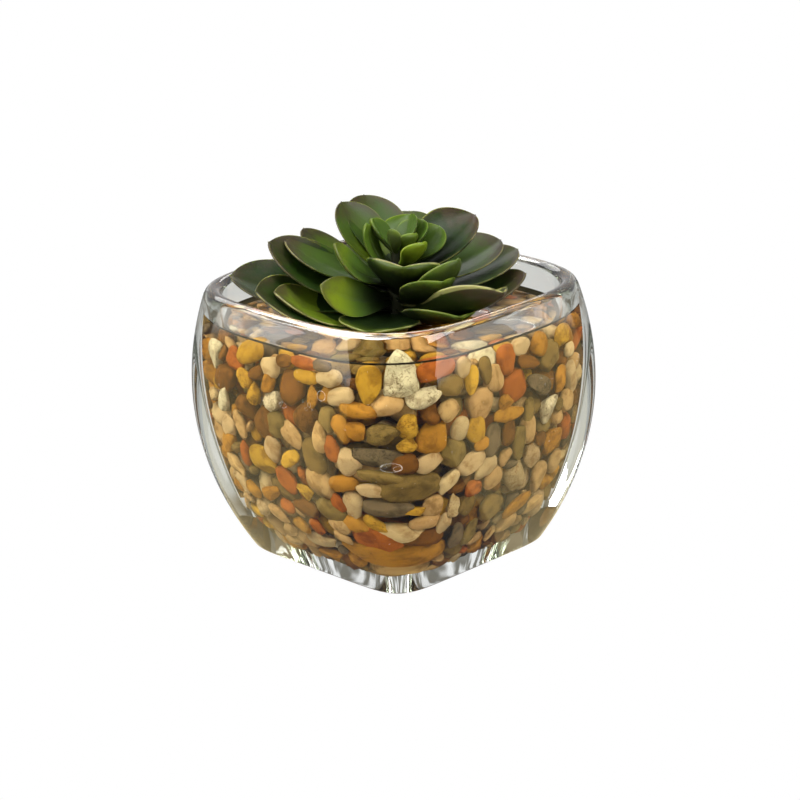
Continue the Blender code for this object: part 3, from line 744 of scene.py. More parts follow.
RESIN_TINT = (0.985, 0.965, 0.93)
RESIN_SHADOW = (0.97, 0.95, 0.92)
RESIN_SWELL = 70.0
RESIN_SWELL_DEPTH = 0.0001
RESIN_GAP = 0.00004
RESIN_FLOOR_GAP = 0.0001
MENISCUS_REACH = 0.0010
# The resin's edge where it creeps up the glass is painted as an opaque dark band: painted shade for the
# dark line the meniscus shows
MENISCUS_PAINTED_DARK = (0.035, 0.030, 0.017)
MENISCUS_PAINTED_DARK_WIDTH = 0.0017

creep_in = 0.006 * np.linspace(0.0, 1.0, 18) ** 1.8
level_in = np.concatenate([creep_in, [0.009, 0.014, 0.021, 0.030, 0.040]])
level_z = RESIN_LEVEL + MENISCUS_RISE * np.exp(-level_in / MENISCUS_REACH)
resin_z = np.concatenate(
    [
        FLOOR + RESIN_FLOOR_GAP + HOLLOW_FOOT_RADIUS * (1.0 - np.sin(np.radians(np.linspace(90, 0, 10)))),
        np.linspace(FLOOR + HOLLOW_FOOT_RADIUS, RESIN_LEVEL + MENISCUS_RISE - 0.0001, 24)[1:],
    ]
)
resin_side = squared_rings(hollow_half(resin_z, RESIN_GAP), resin_z, hollow_power(resin_z), GLASS_SIDES)
resin_top_half = hollow_half(resin_z[-1:], RESIN_GAP) - level_in
resin_top = squared_rings(resin_top_half, level_z, hollow_power(resin_z[-1]), GLASS_SIDES)
resin_rings = np.concatenate([resin_side, resin_top])
resin_points, resin_faces = closed_skin(
    resin_rings, (0.0, 0.0, FLOOR + RESIN_FLOOR_GAP), (0.0, 0.0, RESIN_LEVEL)
)
clear_resin = clear_finish("clear_resin", RESIN_TINT, RESIN_SHADOW, RESIN_SWELL, RESIN_SWELL_DEPTH)
# Painted shade: a dark matt finish on the meniscus faces next to the glass
finish = Finish(bpy.data.materials.new("resin_edge_painted_dark"))
sockets = {"Base Color": (*MENISCUS_PAINTED_DARK, 1.0), "Roughness": 0.9, "Specular IOR Level": 0.0}
painted_dark_edge = finish.done(finish.surface(sockets))
wetted_resin = wetted_finish("wetted_resin")
resin_finishes = [clear_resin, wetted_resin, painted_dark_edge]
resin = new_piece("resin_fine", resin_points, resin_faces, resin_finishes, "clear_resin", "resin")
resin_rows = np.arange(len(resin_rings) - 1).repeat(GLASS_SIDES)
sunk = (resin_rows < len(resin_side)) & wetted_faces(resin_rings[resin_rows, 0, 2])
sunk = np.concatenate([sunk, np.ones(GLASS_SIDES, bool), np.zeros(GLASS_SIDES, bool)])
finish_index = sunk.astype(np.int32)
painted_dark_rows = len(resin_side) + np.flatnonzero(level_in[1:] < MENISCUS_PAINTED_DARK_WIDTH)
finish_index[: len(resin_rows)][np.isin(resin_rows, painted_dark_rows)] = resin_finishes.index(painted_dark_edge)
resin.data.polygons.foreach_set("material_index", finish_index)

# Air bubbles that show: pixel across and down, half width and half height in mm
BUBBLES = (
    (321, 396, 1.6, 1.6), (309, 405, 0.7, 0.7), (306, 409, 0.5, 0.5),
    (312, 410, 0.4, 0.4), (303, 401, 0.4, 0.5), (283, 405, 1.5, 1.0),
    (391, 468, 2.5, 1.4), (398, 469, 1.0, 0.8), (384, 467, 0.6, 0.5),
    (241, 328, 0.5, 0.5), (219, 364, 0.2, 0.3), (219, 368, 0.2, 0.3),
    (219, 372, 0.2, 0.3), (219, 376, 0.25, 0.3), (219, 380, 0.2, 0.3),
    (219, 385, 0.3, 0.4), (219, 390, 0.3, 0.4), (220, 396, 0.4, 0.5),
    (582, 320, 0.4, 0.4), (583, 331, 0.4, 0.4), (582, 345, 0.3, 0.4),
    (579, 356, 0.5, 0.5), (577, 361, 0.3, 0.3), (548, 395, 0.3, 0.5),
    (551, 404, 0.3, 0.4), (545, 384, 0.4, 0.3), (552, 379, 0.5, 0.3),
    (541, 378, 0.4, 0.3), (556, 430, 0.3, 0.5), (549, 441, 0.4, 0.3),
    (262, 399, 0.4, 0.6), (297, 372, 0.3, 0.3), (452, 452, 0.3, 0.3),
    (345, 430, 0.3, 0.3), (431, 520, 0.3, 0.3),
)
FINE_BUBBLES = 130
FINE_BUBBLE_HALF = (0.00008, 0.00022)
FINE_BUBBLE_FIELD = ((205.0, 350.0), (588.0, 560.0))
BUBBLE_FLATNESS = 0.8
BUBBLE_SIDES = 14
BUBBLE_SEED = 31
draw = np.random.default_rng(BUBBLE_SEED)
bubble_rows = np.array(BUBBLES)
fine_spots = draw.uniform(*FINE_BUBBLE_FIELD, (FINE_BUBBLES, 2))
fine_halves = draw.uniform(*FINE_BUBBLE_HALF, (FINE_BUBBLES, 1)).repeat(2, axis=1)
halves = np.concatenate([bubble_rows[:, 2:] / 1000.0, fine_halves])
centres = seen_through_glass(np.concatenate([bubble_rows[:, :2], fine_spots]))
found = np.isfinite(centres).all(axis=1) & (np.abs(centres).max(axis=1) < GLASS_HEIGHT)
centres, halves = centres[found], halves[found]
facing = room_and_way_out(inside_bed, centres)[1]
turns = rotations(np.tile((0.0, 0.0, 1.0), (len(centres), 1)), facing)
ball_turn = np.radians(np.linspace(0, 180, 10))[1:-1]
ball_rings = squared_rings(np.sin(ball_turn), -np.cos(ball_turn), 2.0, BUBBLE_SIDES)
ball, ball_faces = closed_skin(ball_rings, (0.0, 0.0, -1.0), (0.0, 0.0, 1.0))
across, up = halves.T
sizes = np.stack([up, across, np.minimum(across, up) * BUBBLE_FLATNESS], axis=1)
bubble_points = centres[:, None] + np.einsum("nij,pj,nj->npi", turns, ball, sizes)
first_points = np.arange(len(centres))[:, None, None] * len(ball)
bubble_faces = [(group + first_points).reshape(-1, group.shape[1]) for group in ball_faces]
# The bubbles are white rings that glow a little: the white rim is a painted reflection of the bright
# surroundings, and the glow is painted light
finish = Finish(bpy.data.materials.new("bubble_painted_glow"))
toward_rim = finish.node("ShaderNodeLayerWeight", {}, {"Blend": 0.5}, "Facing")
sockets = {
    "Base Color": (0.92, 0.90, 0.85, 1.0),
    "Roughness": 0.6,
    "Specular IOR Level": 0.0,
    "Alpha": toward_rim.swept(0.66, 0.92) * 0.85,
    "Emission Color": (1.0, 0.97, 0.90, 1.0),
    "Emission Strength": 0.9,
}
bubble_painted_glow = finish.done(finish.surface(sockets))
new_piece("air_bubbles", bubble_points.reshape(-1, 3), bubble_faces, [bubble_painted_glow], "clear_resin", "resin")


# Stem
# A plain moulded plastic stem, dark green, set in the casting and glued up into the rosette.

ROSETTE_AXIS = (0.0017, 0.0017)
STEM_RADIUS = 0.0025
STEM_BOTTOM = RESIN_LEVEL - 0.028
STEM_TOP = RESIN_LEVEL + 0.0076
STEM_DARK = (0.010, 0.015, 0.006)
STEM_BROWN = (0.022, 0.020, 0.009)
STEM_STREAKS = (900.0, 900.0, 60.0)


def rod(half, z, sides):
    """A round upright rod on the rosette's axis: its half width and height at each ring."""
    rings = squared_rings(half, z, 2.0, sides)
    rings[..., :2] += ROSETTE_AXIS
    return closed_skin(rings, (*ROSETTE_AXIS, z[0]), (*ROSETTE_AXIS, z[-1]))


straight = np.linspace(STEM_BOTTOM + 0.001, STEM_TOP - 0.0006, 40)
stem_z = np.concatenate([[STEM_BOTTOM, STEM_BOTTOM + 0.0004], straight, [STEM_TOP]])
waist = 1.0 - 0.03 * np.sin(np.linspace(0, 9, 40)) ** 2
stem_half = STEM_RADIUS * np.concatenate([[0.8, 0.95], waist, [0.85]])
stem_points, stem_faces = rod(stem_half, stem_z, 24)
finish = Finish(bpy.data.materials.new("stem_green"))
streak = finish.node("ShaderNodeMapping", {}, {"Vector": finish.place(), "Scale": STEM_STREAKS})
streak = finish.noise(streak, 1.0, 3.0)
sockets = {
    "Base Color": finish.mixed(streak, STEM_DARK, STEM_BROWN),
    "Roughness": 0.55,
    "Specular IOR Level": 0.1,
    "Normal": finish.bump(streak, 0.4, 0.0003),
}
stem_green = finish.done(finish.surface(sockets))
new_piece("stem_fine", stem_points, stem_faces, [stem_green], "stem_green", "stem")


# Rosette
# Spoon-shaped leaves moulded in soft plastic and hand-tinted: green with a purple-brown blush toward
# tips and edges. Pushed in rings on one short crown, with a bud of small leaves in the middle.

# Azimuth in degrees round the stem from +X, height of the root above the rim in mm, length and width
# in mm, pitch at the root and at the tip, cup, roll in degrees, then how light its green is at the
# root and at the tip, partly the leaf's own tone and partly painted light and shade, how strong its
# blush and how pale its rim, partly a painted highlight, mostly 0 to 1. For the leaves that show, the
# first eight were fitted to outline points read off the photograph, rounded, and in part changed; the
# leaves behind are guessed, and the last four are given.
LEAVES = (
    (225, -8.8, 54, 26, 2, 24, 0.5, -19, -0.15, -0.1, 0.6, 0.3),
    (248, -10.2, 50, 28, -3, 35, 0.4, -22, -0.35, -0.15, 0.5, 0.7),
    (248, -10.2, 44, 20.5, -8, 42, 0.45, -20, 0.75, 0.75, 0.9, 0.9),
    (296, -10.4, 27, 27, -2, 8, 0.3, 0, -0.5, -0.45, 0.3, 0.6),
    (8, -9.3, 42, 24, -5, 38, 0.9, -17, -0.1, 0.05, 0.9, 2.0),
    (49, -10.2, 42, 22, -6, 36, 0.3, 8, -0.2, -0.05, 1, 0.2),
    (66, -4.1, 42, 24, -3, 29, 0.35, 7, 0.05, 0.3, 0.9, 0.4),
    (69, -1.6, 37, 24, 2, 30, 0.5, 11, 0.3, 0.45, 1, 0.5),
    (70, 0.3, 32, 25, 22, 46, 0.8, 16, -0.4, -0.2, 1, 0.5),
    (118, -6, 42, 24, 4, 24, 0.5, 0, 0.2, 0.2, 0.5, 0.2),
    (155, 0.6, 36, 22.5, 23, 49, 0.5, 10, 0.3, 0.25, 0.9, 0.2),
    (180, -0.1, 33, 23, 23, 65, 0.6, 7, 0.8, 0.5, 0.8, 0.2),
    (186, -4.9, 42, 22, 6, 42, 0.3, 12, 0.65, 0.65, 0.9, 0.2),
    (218, -0.8, 38, 20, 2, 42, 0.4, -8, 0.4, 0.4, 0.9, 0.5),
    (224, -4.7, 45, 25, 1, 50, 0.5, -20, -0.2, 0.0, 0.8, 0.2),
    (163, -8, 44, 25, 2, 22, 0.5, 0, 0.2, 0.2, 0.5, 0.2),
    (128, -1, 37, 22, 12, 36, 0.5, 0, 0.3, 0.3, 0.5, 0.2),
    (350, -10.2, 32, 24, -4, 24, 0.5, -12, -0.5, -0.35, 0.1, 0.3),
    (259, -5.4, 30, 13, -4, 42, 0.6, -68, 0.35, 1.0, 0.6, 0.3),
    (247, 0.8, 26, 13, 0, 74, 0.4, -28, 0.3, 0.75, 0.4, 0.2),
    (321, -3.9, 20, 26, 23, 61, 0.9, -10, -0.6, -0.3, 0.1, 0.8),
    (10, -4.1, 28, 21, -10, 79, 0.75, -2, -0.3, 0.3, 0.1, 0.2),
    (350, -6.5, 26, 20, 4, 50, 0.7, -6, -0.5, 0.0, 0.2, 0.2),
    (76, 5, 18, 18, 19, 55, 0.65, 16, 0.5, 0.5, 0.3, 0.2),
    (87, 8.1, 15, 13.5, 28, 56, 0.65, 1, 0.5, 0.5, 0.2, 0.2),
    (112, 6.4, 17, 16, 40, 58, 0.9, -20, 0.45, 0.45, 0.2, 0.2),
    (193, 9, 14, 10, 38, 62, 0.7, 10, 0.4, 0.4, 0.3, 0.2),
    (222, 3.3, 18.5, 7, 35, 95, 0.6, -32, 0.6, 0.6, 0.2, 0.2),
    (286, 9, 9.6, 6, 58, 92, 0.7, -11, 0.4, 0.4, 0.2, 0.2),
    (36, 9.5, 8.5, 10, 32, 65, 0.7, -23, 0.7, 0.7, 0.2, 0.2),
    (17, 4.8, 13, 12, 21, 69, 0.7, -13, 0.95, 0.95, 0.1, 0.2),
)
OUTER_LEAVES = 18
LEAF_THICKNESS = 0.0017
LEAF_EDGE = 0.0005
ROOT_RADIUS = 0.0022
BUD_ROOT_RADIUS = 0.0008
BUD_LENGTH_MM = 17
LEAF_WIDEST = 0.62
LEAF_TIP_HALF = 0.0010
LEAF_GROOVE = 0.0004
LEAF_CLEARANCE = 0.0006
LEAF_ROWS = 44
LEAF_COLUMNS = 21
CROWN_RADIUS = 0.0046
CROWN_TIP_RADIUS = 0.0016
CROWN_TOP = GLASS_HEIGHT + 0.0105

# Greens of a leaf's face from dark to light, of its root and of its underside, its blush and its rim;
# the face's dark and light greens, the dark root and the underside are partly painted light and shade,
# and the pale rim is partly a painted highlight
LEAF_DARKEST = (0.005, 0.011, 0.002)
LEAF_DARK = (0.016, 0.036, 0.005)
LEAF_MID = (0.047, 0.087, 0.011)
LEAF_LIGHT = (0.150, 0.205, 0.008)
ROOT_DARK = (0.008, 0.020, 0.002)
ROOT_LIGHT = (0.120, 0.190, 0.008)
UNDER_DARKEST = (0.008, 0.013, 0.003)
UNDER_DARK = (0.026, 0.040, 0.008)
UNDER_LIGHT = (0.046, 0.062, 0.012)
BLUSH = (0.052, 0.034, 0.021)
BLUSH_FAINT = (0.120, 0.180, 0.010)
RIM_PALE = (0.30, 0.28, 0.11)

# Between the leaves, near the stem and low, little light comes in: how far out and how high that is
HEART_DARK = (0.002, 0.004, 0.001)
HEART_NEAR = 0.005
HEART_FAR = 0.019
HEART_LOW = 0.088
HEART_HIGH = 0.103


def leaf_blade(azimuth, root_mm, length_mm, width_mm, root_pitch, tip_pitch, cup, roll):
    """A closed blade on a grid of s, root to tip, and t, edge to edge. The midrib's pitch goes evenly
    from the root's to the tip's; the width swells to s = LEAF_WIDEST and closes to a short point; the
    edges rise with t squared; the thickness falls to a thin edge with 1 - t^4."""
    s = 1.0 - (1.0 - np.linspace(0.0, 1.0, LEAF_ROWS)) ** 1.35
    t = np.sin(np.linspace(-0.5, 0.5, LEAF_COLUMNS) * math.pi)
    length = length_mm / 1000.0
    pitch = np.radians(root_pitch + (tip_pitch - root_pitch) * s)
    step = np.diff(s) * length
    root = ROOT_RADIUS if length_mm > BUD_LENGTH_MM else BUD_ROOT_RADIUS
    out = root + np.concatenate([[0.0], np.cumsum(step * (np.cos(pitch[1:]) + np.cos(pitch[:-1])) / 2)])
    up = np.concatenate([[0.0], np.cumsum(step * (np.sin(pitch[1:]) + np.sin(pitch[:-1])) / 2)])
    way = np.clip(s / LEAF_WIDEST, 0.0, 1.0)
    swell = 0.30 + 0.70 * way * way * (3.0 - 2.0 * way)
    close = np.clip((s - LEAF_WIDEST) / 0.37, 0.0, 1.0)
    half = width_mm / 2000.0 * swell * (1.0 - close**2.5) ** 0.62
    point = LEAF_TIP_HALF * np.clip((1.0 - s) / 0.05, 0.0, 1.0)
    half = np.maximum(half, np.where(s > 0.8, point, 0.0)) + 0.00012
    fullness = (1.0 - t**4)[None, :] * np.sqrt(half / half.max())[:, None]
    thick = LEAF_EDGE * np.minimum(1.0, half / 0.0012)[:, None] + (LEAF_THICKNESS - LEAF_EDGE) * fullness
    across = half[:, None] * t[None, :] * (1.0 - 0.10 * cup * np.abs(t)[None, :])
    rise = half[:, None] * cup * 0.55 * t[None, :] ** 2
    groove = -LEAF_GROOVE * np.exp(-((t / 0.12) ** 2))[None, :] * np.sin(math.pi * s)[:, None]
    turn = math.radians(roll)
    sheets = []
    for face in (0.5, -0.5):
        lift = rise + groove + face * thick
        y = across * math.cos(turn) - lift * math.sin(turn)
        n = across * math.sin(turn) + lift * math.cos(turn)
        x = out[:, None] - np.sin(pitch)[:, None] * n
        z = up[:, None] + np.cos(pitch)[:, None] * n + GLASS_HEIGHT + root_mm / 1000.0
        sheets.append(np.stack([x, y, z], axis=-1))
    bearing = math.radians(azimuth)
    ring = np.concatenate([sheets[0], sheets[1][:, ::-1]], axis=1)
    ring[..., 2] = np.maximum(ring[..., 2], RESIN_LEVEL + LEAF_CLEARANCE)
    spun = ring.copy()
    spun[..., 0] = ring[..., 0] * math.cos(bearing) - ring[..., 1] * math.sin(bearing) + ROSETTE_AXIS[0]
    spun[..., 1] = ring[..., 0] * math.sin(bearing) + ring[..., 1] * math.cos(bearing) + ROSETTE_AXIS[1]
    points, faces = closed_skin(spun, spun[0].mean(axis=0), spun[-1].mean(axis=0))
    along = np.concatenate([[0.0], np.repeat(s, 2 * LEAF_COLUMNS), [1.0]])
    both = np.concatenate([t, t[::-1]])
    over = np.concatenate([[0.0], np.tile(both, LEAF_ROWS), [0.0]])
    upper = np.concatenate([np.ones(LEAF_COLUMNS), np.zeros(LEAF_COLUMNS)])
    top = np.concatenate([[0.5], np.tile(upper, LEAF_ROWS), [0.5]])
    return points, faces, along, over, top


def leaf_finish(name):
    """Satin plastic leaf, blushed purple-brown at tip, edge and underside. Its green, dark to yellow, is
    partly its own tone and partly painted light and shade, as are its darker roots and underside; its
    pale rim is partly a painted highlight.
    """
    finish = Finish(bpy.data.materials.new(name))
    along = finish.attribute("along")
    edge = abs(finish.attribute("over"))
    top = finish.attribute("top")
    light = finish.attribute("light")
    strength = finish.attribute("blush")
    pale = finish.attribute("pale")
    place = finish.place()
    mottle = finish.noise(place, 160.0, 3.0, 0.6)
    fine = finish.noise(place, 1500.0, 2.0, 0.5)
    # Dark to light green by the leaf's light number: partly its own tone, partly painted light and shade
    green = finish.mixed(light.swept(-0.5, 0.0), LEAF_DARKEST, LEAF_DARK)
    green = finish.mixed(light.swept(0.0, 0.5), green, LEAF_MID)
    green = finish.mixed(light.swept(0.5, 1.0), green, LEAF_LIGHT)
    # Toward the root: darker on dark leaves, painted shade among the crowded leaf bases
    root = finish.mixed(light.swept(0.45, 0.8), ROOT_DARK, ROOT_LIGHT)
    green = finish.mixed((1.0 - along).swept(0.45, 0.95) * 0.8, green, root)
    # The underside, darker than the face and darkest on dark leaves: partly painted shade
    under = finish.mixed(mottle, UNDER_DARK, UNDER_LIGHT)
    under = finish.mixed(1.0 - light.swept(-0.3, 0.2), under, UNDER_DARKEST)
    under = finish.mixed(light.swept(0.4, 1.0) * 0.8, under, green)
    body = finish.mixed(top, under, green)
    spread = along + (edge**4.0) * 0.20 + (mottle - 0.5) * 0.55 + strength * 0.12
    tint = finish.mixed(strength.swept(0.25, 0.45), BLUSH_FAINT, BLUSH)
    body = finish.mixed(spread.swept(0.80, 1.15) * (0.35 + strength * 0.55), body, tint)
    # The pale rim: the leaf's pale margin, on some leaves made paler as a painted highlight
    rim = (edge + pale * 0.03).swept(0.965, 1.03) * mottle.swept(0.35, 0.6) * pale
    body = finish.mixed(rim, body, RIM_PALE)
    level = finish.vector("SUBTRACT", place, (*ROSETTE_AXIS, 0.0))
    level = finish.vector("MULTIPLY", level, (1.0, 1.0, 0.0))
    from_stem = finish.vector("LENGTH", level, output="Value")
    height = finish.node("ShaderNodeSeparateXYZ", {}, {"Vector": place}, "Z")
    depth = (1.0 - from_stem.swept(HEART_NEAR, HEART_FAR)) * (1.0 - height.swept(HEART_LOW, HEART_HIGH))
    body = finish.mixed(depth * 0.85, body, HEART_DARK)
    normal = finish.bump(mottle * 0.7 + fine * 0.3, 0.35, 0.0005)
    sockets = {
        "Base Color": body,
        "Roughness": 0.30 + mottle * 0.12,
        "Specular IOR Level": 0.15,
        "Subsurface Weight": 0.25,
        "Subsurface Radius": (0.7, 1.0, 0.12),
        "Subsurface Scale": 0.003,
        "Normal": normal,
    }
    return finish.done(finish.surface(sockets))


leaf_green = leaf_finish("leaf_green")
for name, rows in (("leaves_outer", LEAVES[:OUTER_LEAVES]), ("leaves_inner", LEAVES[OUTER_LEAVES:])):
    point_sets, leaf_faces = [], []
    marks = {"along": [], "over": [], "top": [], "light": [], "blush": [], "pale": []}
    total = 0
    for row in rows:
        points, faces, along, over, top = leaf_blade(*row[:8])
        root_light, tip_light, blush, pale = row[8:]
        # From the root's light number to the tip's: partly the leaf's own tone, partly painted light and
        # shade
        light = root_light + (tip_light - root_light) * np.clip((along - 0.3) / 0.5, 0.0, 1.0)
        point_sets.append(points)
        leaf_faces += [group + total for group in faces]
        total += len(points)
        for label, values in zip(marks, (along, over, top, light, blush, pale)):
            marks[label].append(np.broadcast_to(values, len(points)))
    piece = new_piece(name, np.concatenate(point_sets), leaf_faces, [leaf_green], "leaf_green", "rosette")
    for label, values in marks.items():
        label_points(piece, label, np.concatenate(values))

crown_z = np.linspace(RESIN_LEVEL + LEAF_CLEARANCE, CROWN_TOP, 30)
crown_points, crown_faces = rod(np.linspace(CROWN_RADIUS, CROWN_TIP_RADIUS, 30), crown_z, 32)
new_piece("crown", crown_points, crown_faces, [stem_green], "leaf_green", "rosette")


# Studio
# A white sweep under and round the object, a large soft light on each side, one above and one behind,
# and the camera where the photograph was taken from.

LIGHTS_AIM = (0.0, 0.0, 0.05)
ROOM = (0.14, 0.14, 0.14)
ROOM_THROUGH_GLASS = (0.66, 0.67, 0.64)
CAMERA_SIDE_THROUGH_GLASS = (0.015, 0.022, 0.014)
CAMERA_SIDE_FROM = 0.62
CAMERA_SIDE_TO = 0.80
SKY_LIGHT = (0.15, 0.15, 0.15)
PANEL_FROM = 0.5
PANEL_FROM_EDGE = 0.01
PANEL_TO = -0.34
PANEL_TO_EDGE = 0.03
PANEL_LIGHT = (3.8, 3.55, 3.2)
CROWN_LIGHT = (26.0, 25.5, 24.0)
CROWN_FROM = 0.66
CROWN_TO = 0.92
CROWN_EDGE = 0.03
PANEL_FOOT_LIGHT = (0.95, 0.80, 0.44)
PANEL_FOOT_REACH = (0.5, 1.3)
LEFT_PANEL_TOP = 0.75
RIGHT_PANEL_TOP = 0.20
OVERHEAD_THROUGH_GLASS = (0.24, 0.19, 0.125)
OVERHEAD_RISE = (0.52, 0.64)
BANDS_BEHIND = (0.12, 0.11, 0.075)
BAND_SCALE = 9.0
BAND_TALL_SCALE = 3.0
BAND_EDGES = (0.42, 0.54)
BANDS_FROM_SIDE = (0.3, 0.5)
BANDS_RISE = (0.02, 0.08)
BANDS_END = (0.55, 0.65)
BANDS_STRENGTH = 0.9
FLOOR_THROUGH_GLASS = (0.70, 0.70, 0.68)
# Painted shadow, brown, on the floor under the foot and in patches near it, seen only through the glass
FLOOR_SHADOW_UNDER_FOOT = (0.24, 0.19, 0.13)
FLOOR_SHADOW_UNDER_FOOT_END = (0.032, 0.050)
SHADE_SCALE = 70.0
SHADE_EDGES = (0.46, 0.56)
SHADE_END = (0.08, 0.14)
SHADE_STRENGTH = 0.8
FLOOR_CAMERA_SIDE_FROM = (0.06, 0.10)
FLOOR_MIRRORED = (0.2, 0.2, 0.2)
FLOOR_HALF = 2.0
FLOOR_HEIGHT = -0.0002
BACKDROP_FROM = -0.1
BACKDROP_TO = 0.5
WHITE = (1.0, 1.0, 1.0)


def soft_light(name, azimuth, elevation, distance, width, height, power):
    """A rectangle of light that faces the object, by degrees round from the camera and degrees up."""
    lamp = bpy.data.lights.new(name, "AREA")
    lamp.shape = "RECTANGLE"
    lamp.size = width
    lamp.size_y = height
    lamp.energy = power
    holder = bpy.data.objects.new(name, lamp)
    back = Vector(way_to(CAMERA_AZIMUTH + azimuth, elevation))
    holder.location = Vector(LIGHTS_AIM) + back * distance
    holder.rotation_euler = (-back).to_track_quat("-Z", "Y").to_euler()
    bpy.context.scene.collection.objects.link(holder)
    return holder


soft_light("soft_left", -75, 38, 0.75, 0.45, 0.45, 7.5)
soft_light("soft_right", 60, 32, 0.75, 0.30, 0.45, 4.5)
soft_light("soft_front", -20, 62, 0.75, 0.22, 0.22, 3.0).visible_diffuse = False
soft_light("soft_top", 0, 84, 0.8, 0.6, 0.6, 6.0)
behind = soft_light("soft_behind", -160, 38, 0.75, 0.80, 0.24, 2.2)
behind.visible_diffuse = behind.visible_transmission = False


def seen_directly(finish):
    """1 for what the camera, a reflection or a view through glass sees, 0 for what only lights things."""
    total = finish.light_path("Is Camera Ray")
    for ray in ("Is Singular Ray", "Is Transmission Ray"):
        total = total + finish.light_path(ray)
    return (total - finish.light_path("Diffuse Depth") * 4.0).clamped()


def mirrored(finish):
    """1 for what a polished face reflects straight outward, 0 for what is seen through it."""
    return (finish.light_path("Is Singular Ray") - finish.light_path("Is Transmission Ray")).clamped()


def camera_share(toward_camera, toward_right):
    """The share of the level distance that leads toward the camera, which tells the bearing."""
    return toward_camera / (toward_camera * toward_camera + toward_right * toward_right) ** 0.5


def behind_panels(share):
    """1 to the left and to the right of the object, between the upright edges of the white panels."""
    far_edge = share.swept(PANEL_TO - PANEL_TO_EDGE, PANEL_TO + PANEL_TO_EDGE)
    near_edge = share.swept(PANEL_FROM - PANEL_FROM_EDGE, PANEL_FROM + PANEL_FROM_EDGE)
    return far_edge * (1.0 - near_edge)


# The room is white behind the object and grey before it, with a tall lit panel on each side that
# shines in the glass's flats. Seen through the thick foot it has darker uneven bands behind the object
# and an olive ceiling. The crown of light above the left panel shines in the lip.
TOWARD_CAMERA = way_to(CAMERA_AZIMUTH, 0.0)
TOWARD_RIGHT = way_to(CAMERA_AZIMUTH + 90.0, 0.0)
finish = Finish(bpy.data.worlds.new("studio"))
direction = finish.node("ShaderNodeTexCoord", {}, {}, "Generated")
toward_camera = finish.vector("DOT_PRODUCT", direction, TOWARD_CAMERA, "Value")
toward_right = finish.vector("DOT_PRODUCT", direction, TOWARD_RIGHT, "Value")
upward = finish.vector("DOT_PRODUCT", direction, (0.0, 0.0, 1.0), "Value")
away = 0.0 - toward_camera
share = camera_share(toward_camera, toward_right)
camera_side = share.swept(CAMERA_SIDE_FROM, CAMERA_SIDE_TO)
before = finish.mixed(camera_side, ROOM_THROUGH_GLASS, CAMERA_SIDE_THROUGH_GLASS)
before = finish.mixed(mirrored(finish), before, ROOM)
surroundings = finish.mixed(away.swept(BACKDROP_FROM, BACKDROP_TO), before, WHITE)
top = toward_right.swept(-0.1, 0.1) * (RIGHT_PANEL_TOP - LEFT_PANEL_TOP) + LEFT_PANEL_TOP
panel = behind_panels(share) * (1.0 - (upward - top).swept(-0.03, 0.03))
surroundings = finish.mixed(panel * mirrored(finish), surroundings, PANEL_LIGHT)
sockets = {0: toward_right * BAND_SCALE, 1: upward * BAND_TALL_SCALE}
on_wall_behind = finish.node("ShaderNodeCombineXYZ", {}, sockets)
bands = finish.noise(on_wall_behind, 1.0, 2.0).swept(*BAND_EDGES) * away.swept(*BANDS_FROM_SIDE)
bands = bands * upward.swept(*BANDS_RISE) * (1.0 - upward.swept(*BANDS_END)) * (1.0 - mirrored(finish))
surroundings = finish.mixed(bands * BANDS_STRENGTH, surroundings, BANDS_BEHIND)
overhead = upward.swept(*OVERHEAD_RISE) * (1.0 - mirrored(finish))
surroundings = finish.mixed(overhead, surroundings, OVERHEAD_THROUGH_GLASS)
crown = upward.swept(CROWN_FROM, CROWN_FROM + CROWN_EDGE)
crown = crown * (1.0 - upward.swept(CROWN_TO, CROWN_TO + CROWN_EDGE))
crown = crown * (0.0 - toward_right).swept(0.1, 0.2) * mirrored(finish)
surroundings = finish.mixed(crown, surroundings, CROWN_LIGHT)
surroundings = finish.mixed(finish.light_path("Is Camera Ray"), surroundings, WHITE)
surroundings = finish.mixed(seen_directly(finish), SKY_LIGHT, surroundings)
room_light = finish.node("ShaderNodeBackground", {}, {"Color": surroundings, "Strength": 1.0})
bpy.context.scene.world = finish.done(room_light, "ShaderNodeOutputWorld")

# The floor is white paper; what the glass shows of it is lit before the panels, darker toward the
# camera, with painted shade in patches near the foot and a brown painted shadow under it, where the
# stones stand
floor_mesh = bpy.data.meshes.new("floor")
quarters = ((-1, -1), (1, -1), (1, 1), (-1, 1))
floor_corners = [(FLOOR_HALF * x, FLOOR_HALF * y, FLOOR_HEIGHT) for x, y in quarters]
floor_mesh.from_pydata(floor_corners, [], [(0, 1, 2, 3)])
floor = bpy.data.objects.new("floor", floor_mesh)
bpy.context.scene.collection.objects.link(floor)
finish = Finish(bpy.data.materials.new("white_floor"))
sockets = {"Base Color": (0.8, 0.8, 0.8, 1.0), "Roughness": 0.9, "Specular IOR Level": 0.0}
paper = finish.surface(sockets)
place = finish.place()
distance = finish.vector("LENGTH", place, output="Value")
toward_camera = finish.vector("DOT_PRODUCT", place, TOWARD_CAMERA, "Value")
toward_right = finish.vector("DOT_PRODUCT", place, TOWARD_RIGHT, "Value")
panel = behind_panels(camera_share(toward_camera, toward_right))
pool = finish.mixed(distance.swept(*PANEL_FOOT_REACH), PANEL_FOOT_LIGHT, PANEL_LIGHT)
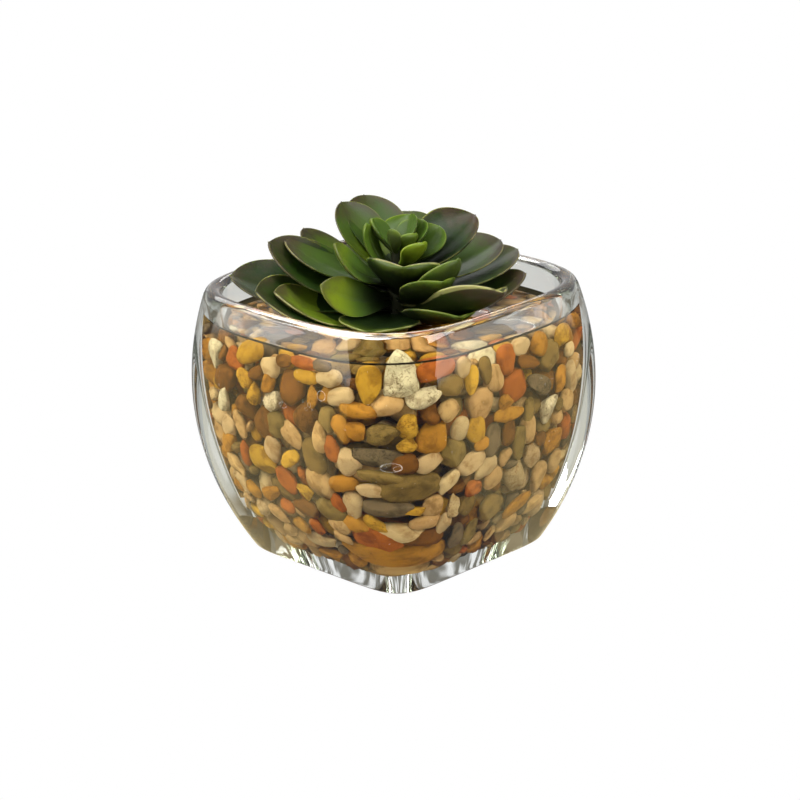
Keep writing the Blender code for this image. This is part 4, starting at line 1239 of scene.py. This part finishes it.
camera_side = (toward_camera / distance).swept(CAMERA_SIDE_FROM, CAMERA_SIDE_TO)
camera_side = camera_side * distance.swept(*FLOOR_CAMERA_SIDE_FROM)
seen_through = finish.mixed(camera_side, FLOOR_THROUGH_GLASS, CAMERA_SIDE_THROUGH_GLASS)
shaded = finish.noise(place, SHADE_SCALE, 1.0).swept(*SHADE_EDGES)
shaded = shaded * (1.0 - distance.swept(*SHADE_END)) * SHADE_STRENGTH
shadow_under_foot = 1.0 - distance.swept(*FLOOR_SHADOW_UNDER_FOOT_END)
seen_through = finish.mixed(shaded, seen_through, FLOOR_SHADOW_UNDER_FOOT)
seen_through = finish.mixed(shadow_under_foot, seen_through, FLOOR_SHADOW_UNDER_FOOT)
glow = finish.mixed(mirrored(finish), seen_through, finish.mixed(panel, FLOOR_MIRRORED, pool))
glow = finish.mixed(finish.light_path("Is Camera Ray"), glow, WHITE)
lit = finish.node("ShaderNodeEmission", {}, {"Color": glow, "Strength": 1.0})
sweep = finish.node("ShaderNodeMixShader", {}, {0: seen_directly(finish), 1: paper, 2: lit})
floor_mesh.materials.append(finish.done(sweep))
floor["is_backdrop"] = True

# The camera, and light followed as often as thick glass turns it
camera_data = bpy.data.cameras.new("camera")
camera_data.lens = CAMERA_LENS
camera_data.sensor_width = SENSOR_WIDTH
camera_data.shift_x, camera_data.shift_y = CAMERA_SHIFT
camera_data.clip_start = 0.01
camera = bpy.data.objects.new("camera", camera_data)
back = Vector(way_to(CAMERA_AZIMUTH, CAMERA_ELEVATION))
camera.location = Vector(CAMERA_AIM) + back * CAMERA_DISTANCE
aimed = (-back).to_track_quat("-Z", "Y").to_matrix()
camera.rotation_euler = (aimed @ Matrix.Rotation(-CAMERA_ROLL, 3, "Z")).to_euler()
bpy.context.scene.collection.objects.link(camera)
bpy.context.scene.camera = camera
bpy.context.scene.view_settings.view_transform = "Standard"
light_paths = bpy.context.scene.cycles
light_paths.transparent_max_bounces = 32
light_paths.max_bounces = light_paths.transmission_bounces = light_paths.glossy_bounces = 14

low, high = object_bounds()
